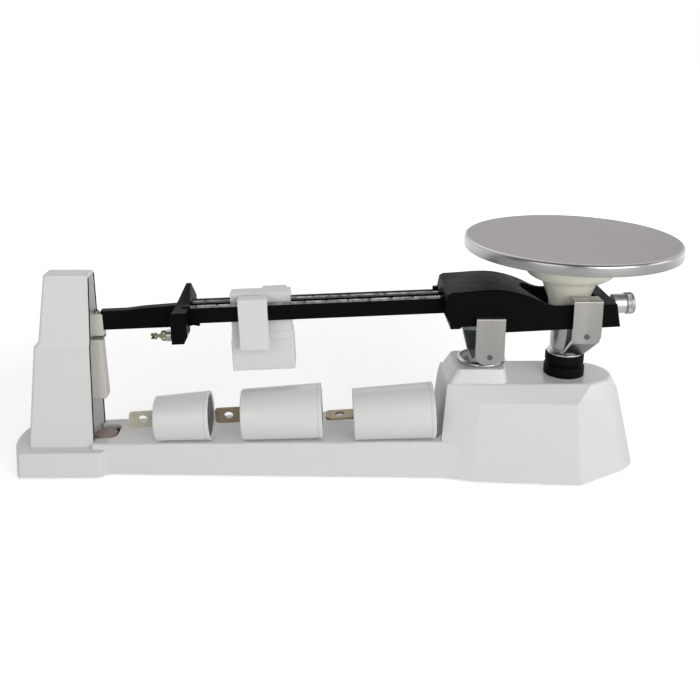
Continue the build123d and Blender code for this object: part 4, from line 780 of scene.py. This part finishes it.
def joined(name, meshes, material, node):
    # All the meshes of one scale become one piece, set on the node's body
    work = bmesh.new()
    for mesh in meshes:
        work.from_mesh(mesh)
    bmesh.ops.remove_doubles(work, verts=work.verts, dist=1e-7)
    whole = bpy.data.meshes.new(name)
    work.to_mesh(whole)
    work.free()
    finishPiece(newObject(name, whole), node, material, replaces=False)


facing = Matrix(((-1, 0, 0, 0), (0, 0, 1, 0), (0, 1, 0, 0), (0, 0, 0, 1)))  # x to the pointer, y up, z to the reader


def readerPlace(along, up, across):
    # The place of a mark on a bar's far face, in millimetres of the beam's own place
    return beamToWorld @ Matrix.Translation((along * mm, across * mm, up * mm)) @ facing


scales = dict(
    near=dict(face=-9.5, top=20.2, zero=-51.7, pitch=15.33, labels=range(0, 101, 10), parts=1),
    middle=dict(face=1.5, top=20.2, zero=-71.3, pitch=25.8, labels=range(0, 501, 100), parts=1),
    far=dict(face=12.5, top=18.2, zero=-52.0, pitch=15.4, labels=range(0, 11), parts=10),
)
for bar, scale in scales.items():
    labels = list(scale["labels"])
    parts = scale["parts"]
    ticks = []
    for step in range((len(labels) - 1) * parts + 1):
        whole = step % parts == 0
        half = parts > 1 and step % parts == parts // 2
        tall = figures["wholeTick" if whole else "halfTick" if half else "smallTick"]
        wide = figures["wholeWide" if whole else "smallWide"]
        ticks.append((step * scale["pitch"] / parts, -figures["gap"] - tall / 2, wide, tall))
    meshes = [flatBars("ticks", ticks, readerPlace(scale["zero"], scale["top"], scale["face"]))]
    for step, label in enumerate(labels):
        numberPlace = readerPlace(scale["zero"] - step * scale["pitch"], scale["top"] - figures["numberDrop"],
                                  scale["face"])
        meshes.append(figureMesh(str(label), figures["numberSize"], numberPlace))
    joined(bar + "_bar_figures", meshes, figureWhite, "beam_casting")

# The zero scale on the tower's leaning far wall: a long line at zero, and short ones above and below
zeroScale = dict(x=-186.0, z=116.0, low=97.0, high=145.0, halfLow=12.2, halfHigh=8.0, plate=0.5,
                 long=(8.0, 0.5), short=(4.4, 0.3), shift=-1.5, pitch=2.2, steps=(-5, -4, -3, -2, -1, 1, 2, 3, 4, 5),
                 label=(2.9, 2.4), labelSize=3.0)
narrows = zeroScale["halfLow"] - zeroScale["halfHigh"]
rises = zeroScale["high"] - zeroScale["low"]
plateY = zeroScale["halfLow"] - (zeroScale["z"] - zeroScale["low"]) * narrows / rises
plateFace = (Matrix.Translation((zeroScale["x"] * mm, plateY * mm, zeroScale["z"] * mm))
             @ Matrix.Rotation(atan2(narrows, rises), 4, "X") @ facing
             @ Matrix.Translation((0, 0, zeroScale["plate"] * mm)))
lines = [(0, 0, *zeroScale["long"])]
lines += [(zeroScale["shift"], step * zeroScale["pitch"], *zeroScale["short"]) for step in zeroScale["steps"]]
labelX, labelY = zeroScale["label"]
zeroLabel = figureMesh("0", zeroScale["labelSize"], plateFace @ Matrix.Translation((labelX * mm, labelY * mm, 0)))
joined("zero_scale_figures", [flatBars("lines", lines, plateFace), zeroLabel], figureBlack, "zero_scale_plate")
print("figures set on the bars and the zero scale")

# Studio: the sky's and the room's strength, and the floor's own tone with its glow and gloss, by distance
studio = dict(sky=0.31, room=0.12, roomFrom=-0.2, roomTo=0.5, floorHalf=6, floorShade=0.80, floorGlow=0.55,
              glowFrom=0.35, glowTo=1.1, glossFrom=-0.1, glossTo=0.5)
lamps = dict(keyLight=dict(place=(0.80, -1.25, 0.60), size=(1.2, 0.9), power=12.6),
             fillLight=dict(place=(-0.85, -1.3, 0.52), size=(1.0, 1.0), power=5.0),
             sideLight=dict(place=(1.5, -0.25, 0.45), size=(0.7, 0.7), power=3.0),
             rimLight=dict(place=(0.2, 1.3, 1.2), size=(1.4, 0.6), power=3.0))
world = bpy.data.worlds.new("studio")
bpy.context.scene.world = world
world.use_nodes = True
tree = world.node_tree
background = tree.nodes["Background"]
background.inputs["Color"].default_value = (1, 1, 1, 1)


def plainRays(tree):
    # The kinds of ray, and a value that is 1 for those from the camera and through glass
    rays = tree.nodes.new("ShaderNodeLightPath")
    return rays, mathsNode(tree, "MAXIMUM", rays.outputs["Is Camera Ray"], rays.outputs["Is Transmission Ray"])


# The backdrop is white to the camera and through glass; gloss sees it white too, and the room behind
# the camera dim; all other rays get the plain level of the sky
rays, plain = plainRays(tree)
direction = tree.nodes.new("ShaderNodeTexCoord")
split = tree.nodes.new("ShaderNodeSeparateXYZ")
tree.links.new(direction.outputs["Generated"], split.inputs["Vector"])
room = rampNode(tree, split.outputs["Y"], studio["roomFrom"], studio["roomTo"], studio["room"], 1.0)
glossy = mathsNode(tree, "MULTIPLY", rays.outputs["Is Glossy Ray"], mathsNode(tree, "SUBTRACT", room, studio["sky"]))
lit = mathsNode(tree, "ADD", glossy, studio["sky"])
rest = mathsNode(tree, "SUBTRACT", 1.0, plain)
tree.links.new(mathsNode(tree, "MULTIPLY_ADD", lit, rest, plain), background.inputs["Strength"])


def areaLight(name, place, size, power, aim=(0, 0, 0.08)):
    # A soft rectangle of light at the place, turned so that it shines towards the aim
    lamp = bpy.data.lights.new(name, "AREA")
    lamp.shape = "RECTANGLE"
    lamp.size, lamp.size_y = size
    lamp.energy = power
    light = newObject(name, lamp)
    light.location = place
    light.rotation_euler = (Vector(aim) - Vector(place)).to_track_quat("-Z", "Y").to_euler()


for name, lamp in lamps.items():
    areaLight(name, **lamp)

half = studio["floorHalf"]
floorMesh = bpy.data.meshes.new("floor")
floorMesh.from_pydata([(-half, -half, 0), (half, -half, 0), (half, half, 0), (-half, half, 0)], [], [(0, 1, 2, 3)])
floor = newObject("floor", floorMesh)
floorPaper, paper = newMaterial("floorPaper", (studio["floorShade"],) * 3, 0.9)
make = Nodes(floorPaper)
tree = floorPaper.node_tree
reach, _ = make.around()
glow = tree.nodes.new("ShaderNodeEmission")
make.link(make.ramp(reach, studio["glowFrom"], studio["glowTo"], studio["floorGlow"], 1.0),
          glow.inputs["Strength"])
both = tree.nodes.new("ShaderNodeAddShader")
make.link(paper.outputs[0], both.inputs[0])
make.link(glow.outputs[0], both.inputs[1])
mix = tree.nodes.new("ShaderNodeMixShader")
rays, plain = plainRays(tree)
_, away, _ = make.axes()
glossy = make.maths("MULTIPLY", rays.outputs["Is Glossy Ray"],
                    make.ramp(away, studio["glossFrom"], studio["glossTo"]))
make.link(make.maths("MAXIMUM", plain, glossy), mix.inputs[0])
make.link(paper.outputs[0], mix.inputs[1])
make.link(both.outputs[0], mix.inputs[2])
make.link(mix.outputs[0], tree.nodes["Material Output"].inputs["Surface"])
floorMesh.materials.append(floorPaper)

# The camera stands where the photograph was taken from, worked out from the pan, the base and the table
view = dict(
    place=(-0.0129, -0.5844, 0.3138), right=(0.99962, -0.02656, 0.00795), up=(-0.00225, 0.20805, 0.97812),
    forward=(0.02764, 0.97776, -0.20791), focal=850, frame=700, sensor=36, rise=-0.198, nearest=0.01,
)
cameraData = bpy.data.cameras.new("camera")
cameraData.sensor_fit = "HORIZONTAL"
cameraData.sensor_width = view["sensor"]
cameraData.lens = view["focal"] / view["frame"] * view["sensor"]
cameraData.shift_y = view["rise"]
cameraData.clip_start = view["nearest"]
camera = newObject("camera", cameraData)
turn = Matrix((view["right"], view["up"], tuple(-v for v in view["forward"]))).transposed().to_4x4()
camera.matrix_world = Matrix.Translation(view["place"]) @ turn
bpy.context.scene.camera = camera
bpy.context.scene.view_settings.view_transform = "Standard"
print("studio and camera set")
